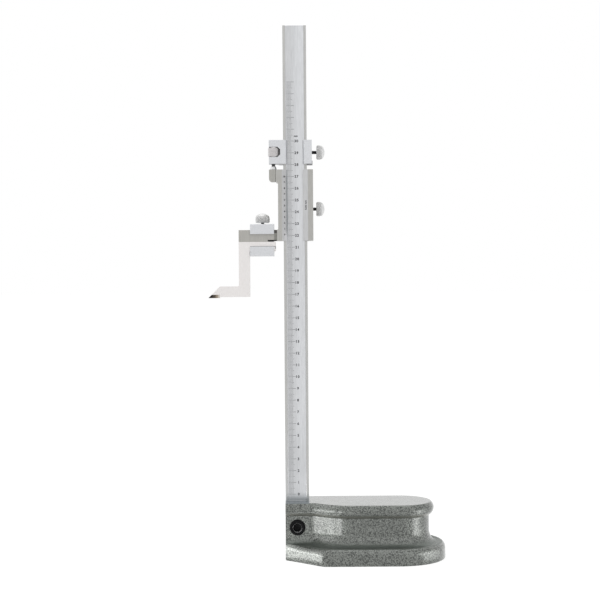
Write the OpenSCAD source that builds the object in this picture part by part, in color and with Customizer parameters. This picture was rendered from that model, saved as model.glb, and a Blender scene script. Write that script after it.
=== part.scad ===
// Vernier height gauge: a steel beam clamped in a waisted cast base, a vernier slider with its
// fine-adjustment carriage, and an offset scriber clamped under the slider's arm.
// The sole lies on z = 0, the beam's axis is x = 0 and y = 0, and the graduated face looks to -Y.

/* [Setting] */
// Height of the scriber's measuring face above the sole
reading = 220.4; // [0:0.2:300]

/* [Beam] */
// Width of the beam
beam_w = 20; // [16:0.5:26]
// Thickness of the beam
beam_t = 9; // [7:0.5:12]
// Height of the beam's top above the sole
beam_top = 451; // [445:1:520]
// Width of the raised rail on each side of the graduated field
rail_w = 2.2; // [1:0.1:3]
// Depth of the graduated field below the rails
field_depth = 0.3; // [0.1:0.05:0.6]

/* [Base plan] */
// Width of the foot, front to back
foot_w = 82; // [72:1:96]
// Reach of the foot to the right of the beam's axis
foot_reach = 125.2; // [118:0.2:150]
// Width of the flange, front to back
flange_w = 56; // [48:1:64]
// Reach of the flange to the right of the beam's axis
flange_reach = 115.6; // [100:0.1:120]
// How far the middle of the base lies in front of the beam
base_shift = 6; // [2:0.5:9]
// Distance from the beam's middle to the front of the narrow left end
nose_half = 19.5; // [18:0.5:24]
// Length of the slanted face at the foot's front left corner
chamfer_len = 30.6; // [20:0.2:40]
// Where the flange starts to flare, right of the beam's axis
flare_start = 15; // [6:0.5:18]
// Length of the flare
flare_len = 30; // [20:0.5:36]
// How far the waist lies inside the flange
waist_inset = 4; // [2:0.5:6]

/* [Base profile] */
// Height of the base
base_h = 47.6; // [44:0.2:48]
// Height of the foot's upright rim
rim_h = 8.5; // [5:0.5:11]
// Height of the rounded bead above the rim
bead_h = 5.5; // [3:0.5:7]
// Depth of the crease between the bead and the cove
crease = 0.6; // [0.2:0.1:1.2]
// Height of the cove's upper end above the sole
cove_top = 24; // [20:0.5:28]
// Radius of the flange's rounded edge
flange_r = 6.5; // [6:0.1:8]
// Height of the flange's widest line below the base's top
flange_drop = 5.2; // [4.5:0.1:5.9]
// Chamfer round the edge of the sole
sole_edge = 0.8; // [0.4:0.1:1.5]
// Depth of the relief pocket in the sole
relief_depth = 2; // [1:0.5:5]
// Width of the ground rim round the relief pocket
sole_rim = 14; // [10:0.5:20]

/* [Beam clamp] */
// Height of the slot's floor above the sole
slot_floor = 6; // [4:0.5:12]
// Thread diameter of the clamp screw
screw_d = 8; // [6:0.5:8]
// Diameter of the clamp screw's head
screw_head_d = 13; // [12:0.1:14]
// Height of the clamp screw's head
screw_head_h = 8; // [6:0.5:10]
// Width across flats of the hexagon socket
socket_flats = 6; // [4:0.5:7]
// Depth of the hexagon socket
socket_depth = 4; // [2:0.5:5]
// Length of the clamp screw under its head
screw_len = 16; // [14:1:22]
// Height of the clamp screw's axis above the sole
screw_z = 26.9; // [25:0.1:28]
// Depth of the counterbore in the front of the base
counterbore_depth = 7.5; // [6:0.5:8]
// Thickness of the spring washer
washer_t = 1.6; // [1:0.1:2.2]
// Width of the spring washer's slit
washer_slit = 0.8; // [0.5:0.1:1.5]

/* [Slider] */
// Height of the slider
slider_h = 60.2; // [52:0.2:70]
// Width of the slider to the left of the beam
slider_left_w = 4.55; // [4.2:0.05:6]
// Width of the slider to the right of the beam
slider_right_w = 5.15; // [4.2:0.05:7]
// Thickness of the front lips
lip_t = 3.1; // [2.6:0.1:4.5]
// Thickness of the slider's back wall
slider_back = 5; // [3:0.5:8]
// How far the vernier lip reaches over the beam
vernier_lip = 2.7; // [2:0.1:4]
// Width of the vernier lip's bevel
vernier_bevel = 3.8; // [2:0.1:5]
// How far the plain lip reaches over the beam
plain_lip = 3.6; // [2:0.1:4.5]
// Width of the plain lip's bevel
plain_bevel = 5; // [2:0.1:6]
// Thickness of the lips at their inner edge
lip_edge = 0.35; // [0.2:0.05:0.8]
// Height of the slider's lock screw above its lower end
slider_screw_z = 26.9; // [20:0.1:40]
// Thickness of the slider's gib strip
slider_gib_t = 0.8; // [0.5:0.1:1.2]

/* [Arm and lug] */
// Reach of the arm to the left of the beam's axis
arm_reach = 48.3; // [46:0.1:60]
// Height of the arm
arm_h = 10; // [8:0.5:14]
// Depth of the arm and the scriber, front to back
arm_t = 9; // [7:0.5:12]
// Height of the slider's lower end above the scriber's seat under the arm
seat_step = 0.7; // [0.3:0.1:1.5]
// Distance of the seat's end from the slider's side
seat_gap = 8.5; // [5:0.5:12]
// Width of the full-depth pad at the arm's root
arm_pad = 1.1; // [0.5:0.1:1.6]
// Height of the lug that holds the rod
lug_h = 10.3; // [8:0.1:14]
// Depth of the lug, front to back
lug_t = 6.4; // [5.6:0.1:7]
// Wall of the lug outside the rod
lug_wall = 1.8; // [1:0.1:2.4]
// Corner radius of the lug
lug_round = 2.6; // [1:0.1:3.5]
// Width of the full-depth pad at the lug's root
lug_pad = 1.8; // [1:0.1:2.5]

/* [Fine adjustment] */
// Height of the carriage
carriage_h = 20.3; // [18:0.1:28]
// Gap between the slider and the carriage
carriage_gap = 4.7; // [4.6:0.1:7]
// Width of the carriage to the left of the beam
carriage_left = 12.1; // [11:0.1:13.5]
// Width of the carriage to the right of the beam
carriage_right = 4.3; // [3.2:0.1:6]
// Thickness of the carriage's back wall
carriage_back = 4; // [3:0.5:8]
// How far the carriage's lips reach over the beam
carriage_lip = 3.3; // [2:0.1:4.5]
// Width of the bevel on the carriage's lips
carriage_bevel = 1.2; // [0.6:0.1:2.5]
// Depth of the carriage's left block, front to back
block_t = 10; // [9.5:0.1:12]
// Depth of the rod's axis behind the front faces
rod_depth = 3.8; // [3.5:0.1:4.2]
// Height of the nut's window
window_h = 8.5; // [7:0.1:11]
// Chamfer in the window's inner corners
window_corner = 2.2; // [1:0.1:2.6]
// Gap between the nut's chamfer and the window's inner corners
window_gap = 0.1; // [0.05:0.05:0.3]
// Diameter of the knurled nut
nut_d = 8.6; // [8:0.1:9]
// Chamfer on the nut's ends
nut_chamfer = 0.9; // [0.5:0.1:1.2]
// Number of flutes round the nut
nut_flutes = 24; // [16:1:32]
// Distance of the rod's axis from the beam's left edge
rod_offset = 8.3; // [8:0.1:8.7]
// Diameter of the rod's thread
rod_d = 4; // [3:0.1:4.4]
// Diameter of the rod's tapered collar at its foot
collar_d = 5.6; // [4.8:0.1:6]
// Height of the rod's collar
collar_h = 2.8; // [1:0.1:3.5]
// Length of the rod above the nut
rod_tail = 1.5; // [0.5:0.1:2]
// Diameter of the cross pin through the lug
rod_pin_d = 1.5; // [1:0.1:2]
// Thickness of the carriage's spring gib
carriage_gib_t = 0.5; // [0.3:0.05:0.8]
// Height of the gib's hooked end on the carriage's right side
hook_h = 3; // [2:0.1:5]

/* [Scriber] */
// Depth of the measuring face below the arm's seat
scriber_drop = 47.6; // [47.6:0.2:60]
// Height of the scriber's shank under the arm
shank_h = 8; // [6:0.5:10]
// Width of the scriber's upright bar
upright_w = 9.4; // [7:0.1:12]
// Height of the scriber's toe
toe_h = 9.1; // [7:0.1:12]
// Reach of the toe to the left of the upright
toe_reach = 26.3; // [20:0.1:40]
// Run of the toe's slanted end
toe_slope = 9.9; // [6:0.1:12]
// Height of the toe's underside above the measuring face
toe_relief = 0.8; // [0.5:0.1:2]
// Length over which the toe narrows to its point
point_len = 13; // [8:0.5:16]
// Width of the point, front to back
point_w = 2; // [1:0.1:5]
// Length of the carbide strip
carbide_len = 7; // [6:0.5:14]
// Thickness of the carbide strip
carbide_t = 2.8; // [2.4:0.1:4.5]
// Gap between the scriber's heel and the slider's side
heel_gap = 2.25; // [0.5:0.05:4]
// Radius of the scriber's inner corners
corner_r = 1.2; // [0.5:0.1:2.5]

/* [Scriber clamp] */
// Width of the clamp along the arm
clamp_w = 20.3; // [16:0.1:22]
// Gap between the scriber's upright and the clamp
clamp_gap = 0.4; // [0.2:0.1:2]
// Thickness of the clamp's floor
clamp_floor = 4.2; // [3:0.1:6]
// Thickness of the clamp's top wall
clamp_top = 4.2; // [2.5:0.1:6]
// Play between the arm and the clamp's top wall
clamp_play = 0.8; // [0.3:0.1:2]
// Thickness of the clamp's back wall and front lips
clamp_wall = 3; // [2:0.1:5]
// Height of the upper front lip below the clamp's inner top
upper_lip = 4.3; // [2:0.1:6]
// Height of the lower front lip above the clamp's floor
lower_lip = 3.9; // [2:0.1:6]
// Rounding of the clamp's outer edges
clamp_round = 1; // [0.4:0.1:1.8]
// Distance of the clamp's screw from the clamp's left side
clamp_screw_in = 10.5; // [8:0.1:12]

/* [Lock screws] */
// Diameter of the knurled heads
thumb_d = 12.2; // [9:0.2:15]
// Height of the knurled heads of the slider and the carriage
thumb_h = 7; // [6:0.1:9]
// Height of the clamp's knurled head
clamp_thumb_h = 7.9; // [6:0.1:9]
// Height of the dome on the knurled heads
thumb_dome = 2.5; // [1:0.1:3]
// Chamfer under the knurled heads
thumb_chamfer = 0.7; // [0.3:0.1:1.2]
// Number of flutes round a knurled head
thumb_flutes = 32; // [20:1:40]
// Radius of a flute
flute_r = 0.45; // [0.25:0.05:0.6]
// Thread diameter of the lock screws
thumb_shank_d = 3; // [2.5:0.1:3.6]
// Chamfer on the lock screws' tips
shank_tip = 0.4; // [0.2:0.05:0.6]
// Depth of the shank in its head
shank_grip = 4; // [2:0.5:4.5]
// Gap between the slider and its screw's head
slider_head_gap = 2.7; // [1:0.1:5]
// Gap between the carriage and its screw's head
carriage_head_gap = 3.9; // [2:0.1:6]
// Gap between the clamp and its screw's head
clamp_head_gap = 1.2; // [1.2:0.1:4]

/* [Clearances] */
// Running clearance of sliding faces and threads
run_clear = 0.05; // [0.02:0.01:0.1]
// Clearance of fixed fits
fit_clear = 0.02; // [0.01:0.01:0.05]
// Radial clearance of holes that a screw or the rod passes freely
free_clear = 0.4; // [0.3:0.05:0.6]
// Travel left for a gib when its screw is loosened
gib_play = 0.5; // [0.4:0.05:0.8]
// Distance of a gib's edges from the edges of what it lies against
gib_margin = 1; // [0.5:0.1:2]

/* [Hidden] */
$fn = 48;
// Overrun of a cut past the face it opens
past = 1;

beam_half = beam_w / 2;
beam_face = beam_t / 2;
front_y = -(beam_face + lip_t);

base_left = -beam_half;
foot_half = foot_w / 2;
flange_half = flange_w / 2;
nose_back = flange_half - base_shift;
nose_front_y = -(nose_half - waist_inset);
flange_mid = base_h - flange_drop;

screw_seat_y = nose_front_y + counterbore_depth;
screw_tip_y = screw_seat_y - washer_t + screw_len;
counterbore_d = screw_head_d + 2 * free_clear;

seat_z = reading + scriber_drop;
slider_z = seat_z + seat_step;
slider_top = slider_z + slider_h;
slider_left = -(beam_half + slider_left_w);
slider_right = beam_half + slider_right_w;
slider_gib_x = beam_half + run_clear;
slider_screw_height = slider_z + slider_screw_z;

carriage_z = slider_top + carriage_gap;
carriage_mid = carriage_z + carriage_h / 2;
carriage_top = carriage_z + carriage_h;
carriage_left_x = -(beam_half + carriage_left);
carriage_right_x = beam_half + carriage_right;

rod_x = -(beam_half + rod_offset);
rod_y = front_y + rod_depth;
nut_h = window_h - 4 * run_clear;
rod_top = carriage_mid + nut_h / 2 + rod_tail;
lug_left = rod_x - rod_d / 2 - lug_wall;
lug_z = slider_top - lug_h;

upright_left = -arm_reach;
upright_right = upright_left + upright_w;
heel_x = slider_left - heel_gap;
shank_top = seat_z - run_clear;
shank_bottom = seat_z - shank_h;
toe_bottom = reading + toe_relief;
toe_top = toe_bottom + toe_h;
tip_x = upright_left - toe_reach;
toe_slant = toe_slope / (toe_top - reading);

clamp_left = upright_right + clamp_gap;
clamp_screw_x = clamp_left + clamp_screw_in;
clamp_floor_z = shank_bottom - run_clear;
clamp_z = clamp_floor_z - clamp_floor;
arm_top = seat_z + arm_h;
clamp_inner_top = arm_top + clamp_play;
clamp_top_z = clamp_inner_top + clamp_top;
clamp_half = arm_t / 2 + run_clear;

// Point between a and b
function mix_point(a, b, t) = a + (b - a) * t;

// Step from 0 to 1 that starts steep and levels off
function bulge(t) = t * (2 - t);

// Share of the way from a to b, held between 0 and 1
function share(x, a, b) = min(1, max(0, (x - a) / (b - a)));

// Steps along each stretch of a plan outline
front_steps = 22;
arc_steps = 26;
back_steps = 4;

// Plan outline of the base at one level, from the left end's front corner round by the right end.
// The front runs from nose to half between flare_a and flare_b, straight or bulging.
// The left end lies at left, past the plane that it is trimmed to.
function plan(left, half, reach, nose, back_nose, flare_a, flare_b, back_run, bulging) =
    let (centre = reach - half)
    concat(
        [[left, -nose]],
        [for (i = [0 : front_steps])
            let (x = mix_point(base_left, flare_b, i / front_steps), t = share(x, flare_a, flare_b))
            [x, -mix_point(nose, half + base_shift, bulging ? bulge(t) : t)]],
        [for (i = [0 : arc_steps])
            let (a = 180 * i / arc_steps - 90)
            [centre + half * cos(a), half * sin(a) - base_shift]],
        [for (i = [0 : back_steps])
            let (t = i / back_steps)
            [mix_point(base_left + back_run, base_left, t),
                mix_point(half - base_shift, back_nose, t)]],
        [[left, back_nose]]);

outer_left = base_left - 2 * past;
waist_left = base_left - past;
back_chamfer = foot_half - flange_half;
flare_end = flare_start + flare_len;
foot_plan = plan(outer_left, foot_half, foot_reach, nose_half, nose_back, base_left,
    base_left + chamfer_len, back_chamfer, false);
flange_plan = plan(outer_left, flange_half, flange_reach, nose_half, nose_back, flare_start,
    flare_end, back_chamfer, true);
waist_plan = plan(waist_left, flange_half - waist_inset, flange_reach - waist_inset,
    nose_half - waist_inset, nose_back - waist_inset, flare_start, flare_end, back_chamfer, true);

// Levels of the foot: share of the way from the foot's outline to the waist, and height
bead_share = 0.32;
crease_share = 0.42;
bead_steps = 5;
cove_steps = 6;
crease_z = rim_h + bead_h - crease;
foot_levels = concat(
    [[sole_edge / (back_chamfer + waist_inset), 0], [0, sole_edge], [0, rim_h]],
    [for (i = [1 : bead_steps])
        let (a = 90 * i / bead_steps)
        [bead_share * (1 - cos(a)), rim_h + bead_h * sin(a)]],
    [for (i = [0 : cove_steps])
        let (a = 90 * i / cove_steps)
        [1 - (1 - crease_share) * (1 - sin(a)), crease_z + (cove_top - crease_z) * (1 - cos(a))]]);

// Levels of the flange: share of the way from the waist to the flange's outline, and height
flange_steps = 9;
flange_low = -acos(1 - waist_inset / flange_r);
flange_high = asin(flange_drop / flange_r);
flange_levels = [for (i = [0 : flange_steps])
    let (a = mix_point(flange_low, flange_high, i / flange_steps))
    [1 - flange_r * (1 - cos(a)) / waist_inset, flange_mid + flange_r * sin(a)]];

// Ring of points at one level, between two plan outlines
function ring(from, to, level) =
    [for (i = [0 : len(from) - 1])
        let (p = mix_point(from[i], to[i], level[0]))
        [p[0], p[1], level[1]]];

// Middle of a ring's points
function middle(r) = [for (p = r) 1] * r / len(r);

// Closed skin through rings of equal length, from the lowest to the highest, with fans as its ends
module skin(rings) {
    n = len(rings[0]);
    low_middle = n * len(rings);
    high_ring = low_middle - n;
    points = concat([for (r = rings) each r], [middle(rings[0]), middle(rings[len(rings) - 1])]);
    sides = [for (k = [0 : len(rings) - 2], i = [0 : n - 1])
        let (a = k * n + i, b = k * n + (i + 1) % n)
        each [[a, b + n, b], [a, a + n, b + n]]];
    low_fan = [for (i = [0 : n - 1]) [low_middle, i, (i + 1) % n]];
    high_fan = [for (i = [0 : n - 1]) [low_middle + 1, high_ring + (i + 1) % n, high_ring + i]];
    polyhedron(points, concat(sides, low_fan, high_fan));
}

// Extrusion of a shape drawn in x and z, from depth y0 back to y1
module profile_xz(y0, y1) {
    translate([0, y1, 0]) rotate([90, 0, 0]) linear_extrude(y1 - y0) children();
}

// Extrusion of a shape drawn in y and z, from x0 to x1
module profile_yz(x0, x1) {
    translate([x0, 0, 0]) rotate([90, 0, 90]) linear_extrude(x1 - x0) children();
}

// Cylinder along +X from x0 to x1
module rod_along_x(x0, x1, r, y, z) {
    translate([x0, y, z]) rotate([0, 90, 0]) cylinder(h = x1 - x0, r = r);
}

// Cylinder along +Y from y0 to y1
module rod_along_y(y0, y1, r, x, z) {
    translate([x, y0, z]) rotate([-90, 0, 0]) cylinder(h = y1 - y0, r = r);
}

// Square between two corners
module span(x0, y0, x1, y1) {
    translate([x0, y0]) square([x1 - x0, y1 - y0]);
}

// Concave fillet in the corner at the origin, filling towards -x and -y
module corner_fillet(r) {
    difference() {
        span(-r, -r, run_clear, run_clear);
        translate([-r, -r]) circle(r);
    }
}

module base() {
    color("slategray") difference() {
        skin(concat([for (l = foot_levels) ring(foot_plan, waist_plan, l)],
            [for (l = flange_levels) ring(waist_plan, flange_plan, l)]));
        translate([outer_left - past, -foot_w, -past])
            cube([base_left - outer_left + past, 2 * foot_w, base_h + 2 * past]);
        translate([base_left - past, -(beam_face + fit_clear), slot_floor])
            cube([beam_w + fit_clear + past, beam_t + 2 * fit_clear, base_h]);
        rod_along_y(-foot_half - base_shift, screw_seat_y, counterbore_d / 2, 0, screw_z);
        rod_along_y(-foot_half, screw_tip_y + past, screw_d / 2 + free_clear, 0, screw_z);
        sole_relief();
    }
}

// Relief pocket in the sole, kept off the beam's seat
module sole_relief() {
    r = flange_half - waist_inset;
    x1 = foot_reach - foot_half;
    x0 = beam_half + sole_rim + r;
    translate([0, -base_shift, -past]) linear_extrude(relief_depth + past) {
        span(x0, -r, x1, r);
        translate([x0, 0]) circle(r);
        translate([x1, 0]) circle(r);
    }
}

module beam() {
    color("silver") difference() {
        translate([-beam_half, -beam_face, slot_floor]) cube([beam_w, beam_t, beam_top - slot_floor]);
        translate([-beam_half + rail_w, -beam_face - past, base_h])
            cube([beam_w - 2 * rail_w, past + field_depth, beam_top]);
        rod_along_y(-beam_t, beam_t, screw_d / 2 + fit_clear, 0, screw_z);
    }
}

module beam_clamp_screw() {
    head_y = screw_seat_y - washer_t - screw_head_h;
    color([0.1, 0.1, 0.11]) difference() {
        union() {
            rod_along_y(head_y, screw_seat_y - washer_t, screw_head_d / 2, 0, screw_z);
            rod_along_y(screw_seat_y - washer_t - past, screw_tip_y, screw_d / 2, 0, screw_z);
        }
        translate([0, head_y - past, screw_z]) rotate([-90, 0, 0])
            cylinder(h = socket_depth + past, d = socket_flats / cos(30), $fn = 6);
    }
}

module beam_screw_washer() {
    color([0.2, 0.2, 0.22]) difference() {
        rod_along_y(screw_seat_y - washer_t, screw_seat_y, screw_head_d / 2 - fit_clear, 0, screw_z);
        rod_along_y(screw_seat_y - screw_head_h, 0, screw_d / 2 + free_clear, 0, screw_z);
        translate([-washer_slit / 2, screw_seat_y - screw_head_h, screw_z])
            cube([washer_slit, screw_head_h + past, screw_head_d]);
    }
}

// Section of a block that wraps the beam, with bevelled front lips and room for a gib at the right
module wrap_section(left, right, back, lips, bevels, gib_room) {
    edge_y = -(beam_face + run_clear + lip_edge);
    inner_left = -beam_half + lips[0];
    inner_right = beam_half - lips[1];
    difference() {
        span(left, front_y, right, beam_face + back);
        span(-beam_half - run_clear, -beam_face - run_clear, beam_half + gib_room, beam_face + run_clear);
        span(inner_left, front_y, inner_right, 0);
        polygon([[inner_left - bevels[0], front_y], [inner_left, edge_y], [inner_right, edge_y],
            [inner_right + bevels[1], front_y], [0, front_y - past]]);
    }
}

module fine_adjust_carriage() {
    gib_room = run_clear + carriage_gib_t + gib_play;
    block_right = -(beam_half + run_clear);
    color("gainsboro") difference() {
        union() {
            translate([0, 0, carriage_z]) linear_extrude(carriage_h)
                wrap_section(-(beam_half + carriage_right), carriage_right_x, carriage_back,
                    [carriage_lip, carriage_lip], [carriage_bevel, carriage_bevel], gib_room);
            translate([carriage_left_x, front_y, carriage_z])
                cube([block_right - carriage_left_x, block_t, carriage_h]);
        }
        profile_xz(front_y - past, rod_y + nut_d / 2 + free_clear) nut_window();
        translate([rod_x, rod_y, carriage_z - past])
            cylinder(h = carriage_h + 2 * past, r = rod_d / 2 + free_clear);
        rod_along_x(beam_half, carriage_right_x + past, thumb_shank_d / 2 + run_clear, 0, carriage_mid);
    }
}

// Window for the nut, open to the front and left, with its inner corners cut at 45 degrees
module nut_window() {
    right = rod_x + nut_d / 2 - nut_chamfer + window_corner + window_gap;
    low = carriage_mid - window_h / 2;
    high = carriage_mid + window_h / 2;
    polygon([[carriage_left_x - past, low], [right - window_corner, low], [right, low + window_corner],
        [right, high - window_corner], [right - window_corner, high], [carriage_left_x - past, high]]);
}

// Spring strip beside the beam, whose lower end hooks under the carriage and up its right side
module carriage_gib() {
    x0 = beam_half + run_clear;
    hook_x = carriage_right_x + run_clear;
    low = carriage_z - run_clear - carriage_gib_t;
    color("dimgray") profile_xz(-beam_face + gib_margin, beam_face - gib_margin) {
        span(x0, low, x0 + carriage_gib_t, carriage_top - gib_margin);
        span(x0, low, hook_x + carriage_gib_t, low + carriage_gib_t);
        span(hook_x, low, hook_x + carriage_gib_t, carriage_z + hook_h);
    }
}

// Lock screw's threaded shank, drawn along +Z from its tip
module thumb_shank(length) {
    r = thumb_shank_d / 2;
    cylinder(h = shank_tip, r1 = r - shank_tip, r2 = r);
    translate([0, 0, shank_tip]) cylinder(h = length - shank_tip, r = r);
}

// Knurled head of the given height, drawn along +Z from its underside, with a blind hole for the shank
module thumb_head(height) {
    dome_r = (pow(thumb_d / 2, 2) + pow(thumb_dome, 2)) / (2 * thumb_dome);
    difference() {
        intersection() {
            rotate_extrude() polygon([[0, 0], [thumb_d / 2 - thumb_chamfer, 0],
                [thumb_d / 2, thumb_chamfer], [thumb_d / 2, height], [0, height]]);
            translate([0, 0, height - dome_r]) sphere(dome_r);
        }
        flutes(thumb_d, height, thumb_flutes);
        translate([0, 0, -past]) cylinder(h = shank_grip + past, r = thumb_shank_d / 2 + fit_clear);
    }
}

// Ring of shallow flutes round a cylinder of diameter d
module flutes(d, h, count) {
    for (i = [0 : count - 1]) rotate(360 * i / count)
        translate([d / 2 + flute_r / 4, 0, -past]) cylinder(h = h + 2 * past, r = flute_r, $fn = 16);
}

// Places what is drawn along +Z so that it runs along +X from the given point
module along_x(x, z) {
    translate([x, 0, z]) rotate([0, 90, 0]) children();
}

carriage_screw_tip = beam_half + run_clear + carriage_gib_t + fit_clear;
carriage_head_x = carriage_right_x + carriage_head_gap;
slider_screw_tip = slider_gib_x + slider_gib_t + fit_clear;
slider_head_x = slider_right + slider_head_gap;
scriber_screw_tip = arm_top + fit_clear;
scriber_head_z = clamp_top_z + clamp_head_gap;

module carriage_screw_shank() {
    color([0.16, 0.16, 0.17]) along_x(carriage_screw_tip, carriage_mid)
        thumb_shank(carriage_head_x + shank_grip - carriage_screw_tip);
}

module carriage_screw_head() {
    color("lightgray") along_x(carriage_head_x, carriage_mid) thumb_head(thumb_h);
}

module fine_adjust_nut() {
    r = nut_d / 2;
    color("lightgray") translate([rod_x, rod_y, carriage_mid - nut_h / 2]) difference() {
        rotate_extrude() polygon([[0, 0], [r - nut_chamfer, 0], [r, nut_chamfer],
            [r, nut_h - nut_chamfer], [r - nut_chamfer, nut_h], [0, nut_h]]);
        flutes(nut_d, nut_h, nut_flutes);
        translate([0, 0, -past]) cylinder(h = nut_h + 2 * past, r = rod_d / 2 + run_clear);
    }
}

module fine_adjust_rod() {
    color([0.45, 0.46, 0.48]) difference() {
        translate([rod_x, rod_y, 0]) {
            translate([0, 0, lug_z]) cylinder(h = rod_top - lug_z, r = rod_d / 2);
            translate([0, 0, slider_top]) cylinder(h = collar_h, r1 = collar_d / 2, r2 = rod_d / 2);
        }
        rod_along_y(rod_y - lug_t, rod_y + lug_t, rod_pin_d / 2 + fit_clear, rod_x, lug_z + lug_h / 2);
    }
}

module rod_pin() {
    color("gray") rod_along_y(rod_y - lug_t / 2, rod_y + lug_t / 2, rod_pin_d / 2, rod_x, lug_z + lug_h / 2);
}

module slider() {
    gib_room = run_clear + slider_gib_t + gib_play;
    color("darkgray") difference() {
        union() {
            translate([0, 0, slider_z]) linear_extrude(slider_h)
                wrap_section(slider_left, slider_right, slider_back, [vernier_lip, plain_lip],
                    [vernier_bevel, plain_bevel], gib_room);
            profile_xz(rod_y - lug_t / 2, rod_y + lug_t / 2) lug_outline();
            profile_xz(-arm_t / 2, arm_t / 2) arm_outline();
            profile_xz(front_y, beam_face + slider_back) root_pads();
        }
        translate([rod_x, rod_y, lug_z - past]) cylinder(h = lug_h + 2 * past, r = rod_d / 2 + fit_clear);
        rod_along_y(rod_y - lug_t, rod_y + lug_t, rod_pin_d / 2 + fit_clear, rod_x, lug_z + lug_h / 2);
        rod_along_x(beam_half, slider_right + past, thumb_shank_d / 2 + run_clear, 0, slider_screw_height);
    }
}

// Lug in x and z, with its rounded lower corner
module lug_outline() {
    span(lug_left + lug_round, lug_z, slider_left, slider_top);
    span(lug_left, lug_z + lug_round, slider_left, slider_top);
    translate([lug_left + lug_round, lug_z + lug_round]) circle(lug_round);
}

// Arm in x and z, with the scriber's seat a step below the rest of its underside
module arm_outline() {
    span(-arm_reach, slider_z, slider_left, arm_top);
    span(-arm_reach, seat_z, slider_left - seat_gap, arm_top);
}

// Full-depth pads where the arm and the lug leave the slider's side, each with a fillet
module root_pads() {
    body_x = slider_left + run_clear;
    span(slider_left - arm_pad, slider_z, body_x, arm_top);
    translate([slider_left, arm_top]) mirror([0, 1]) corner_fillet(arm_pad);
    span(slider_left - lug_pad, lug_z, body_x, slider_top);
    translate([slider_left, lug_z]) corner_fillet(lug_pad);
}

module slider_gib() {
    color("dimgray") translate([slider_gib_x, -beam_face + gib_margin, slider_z + gib_margin])
        cube([slider_gib_t, beam_t - 2 * gib_margin, slider_h - 2 * gib_margin]);
}

module slider_screw_shank() {
    color([0.16, 0.16, 0.17]) along_x(slider_screw_tip, slider_screw_height)
        thumb_shank(slider_head_x + shank_grip - slider_screw_tip);
}

module slider_screw_head() {
    color("lightgray") along_x(slider_head_x, slider_screw_height) thumb_head(thumb_h);
}

module scriber_clamp() {
    color("gainsboro") difference() {
        profile_yz(clamp_left, clamp_left + clamp_w) clamp_outline();
        translate([clamp_screw_x, 0, clamp_inner_top - past])
            cylinder(h = clamp_top + 2 * past, r = thumb_shank_d / 2 + run_clear);
    }
}

// Clamp in y and z: a frame with rounded outer edges, open at the front between two lips
module clamp_outline() {
    y0 = -(clamp_half + clamp_wall);
    y1 = clamp_half + clamp_wall;
    difference() {
        rounded_span(y0, clamp_z, y1, clamp_top_z, clamp_round);
        span(-clamp_half, clamp_floor_z, clamp_half, clamp_inner_top);
        span(y0 - past, clamp_floor_z + lower_lip, 0, clamp_inner_top - upper_lip);
    }
}

// Square between two corners with round corners
module rounded_span(x0, y0, x1, y1, r) {
    span(x0 + r, y0, x1 - r, y1);
    span(x0, y0 + r, x1, y1 - r);
    for (x = [x0 + r, x1 - r], y = [y0 + r, y1 - r]) translate([x, y]) circle(r);
}

module scriber_screw_shank() {
    color([0.16, 0.16, 0.17]) translate([clamp_screw_x, 0, scriber_screw_tip])
        thumb_shank(scriber_head_z + shank_grip - scriber_screw_tip);
}

module scriber_screw_head() {
    color("lightgray") translate([clamp_screw_x, 0, scriber_head_z]) thumb_head(clamp_thumb_h);
}

// Where the slanted end of the toe lies at height z
function slant_x(z) = tip_x + toe_slant * (z - reading);

// Narrows the toe to its point, seen from above
module point_prism() {
    half = arm_t / 2;
    translate([0, 0, reading - past]) linear_extrude(scriber_drop + 2 * past)
        polygon([[tip_x, -point_w / 2], [tip_x + point_len, -half], [heel_x, -half], [heel_x, half],
            [tip_x + point_len, half], [tip_x, point_w / 2]]);
}

module scriber() {
    color("whitesmoke") intersection() {
        profile_xz(-arm_t / 2, arm_t / 2) scriber_outline();
        point_prism();
    }
}

// Scriber in x and z: shank, upright and toe, with the step that the carbide strip is brazed into
module scriber_outline() {
    step_z = reading + carbide_t;
    step_x = slant_x(step_z) + carbide_len;
    polygon([[heel_x, shank_bottom], [heel_x, shank_top], [upright_left, shank_top], [upright_left, toe_top],
        [slant_x(toe_top), toe_top], [slant_x(step_z), step_z], [step_x, step_z], [step_x, toe_bottom],
        [upright_right, toe_bottom], [upright_right, shank_bottom]]);
    translate([upright_left, toe_top]) mirror([0, 1]) corner_fillet(corner_r);
    translate([upright_right, shank_bottom]) mirror([1, 0])
        corner_fillet(min(corner_r, clamp_gap - run_clear));
}

module carbide_tip() {
    step_z = reading + carbide_t - fit_clear;
    end_x = slant_x(reading + carbide_t) + carbide_len - fit_clear;
    color([0.3, 0.3, 0.32]) intersection() {
        profile_xz(-arm_t / 2, arm_t / 2)
            polygon([[tip_x, reading], [slant_x(step_z), step_z], [end_x, step_z], [end_x, reading]]);
        point_prism();
    }
}

base();
beam();
beam_clamp_screw();
beam_screw_washer();
fine_adjust_carriage();
carriage_gib();
carriage_screw_shank();
carriage_screw_head();
fine_adjust_nut();
fine_adjust_rod();
rod_pin();
slider();
slider_gib();
slider_screw_shank();
slider_screw_head();
scriber_clamp();
scriber_screw_shank();
scriber_screw_head();
scriber();
carbide_tip();
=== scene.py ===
"""Vernier height gauge: surfaces, engraving, finishes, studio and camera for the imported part."""

import logging
import math
from dataclasses import dataclass, field, replace
from enum import Enum
from typing import Any, Iterable

import bmesh
import bpy
import numpy as np
from mathutils import Matrix, Vector


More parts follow.
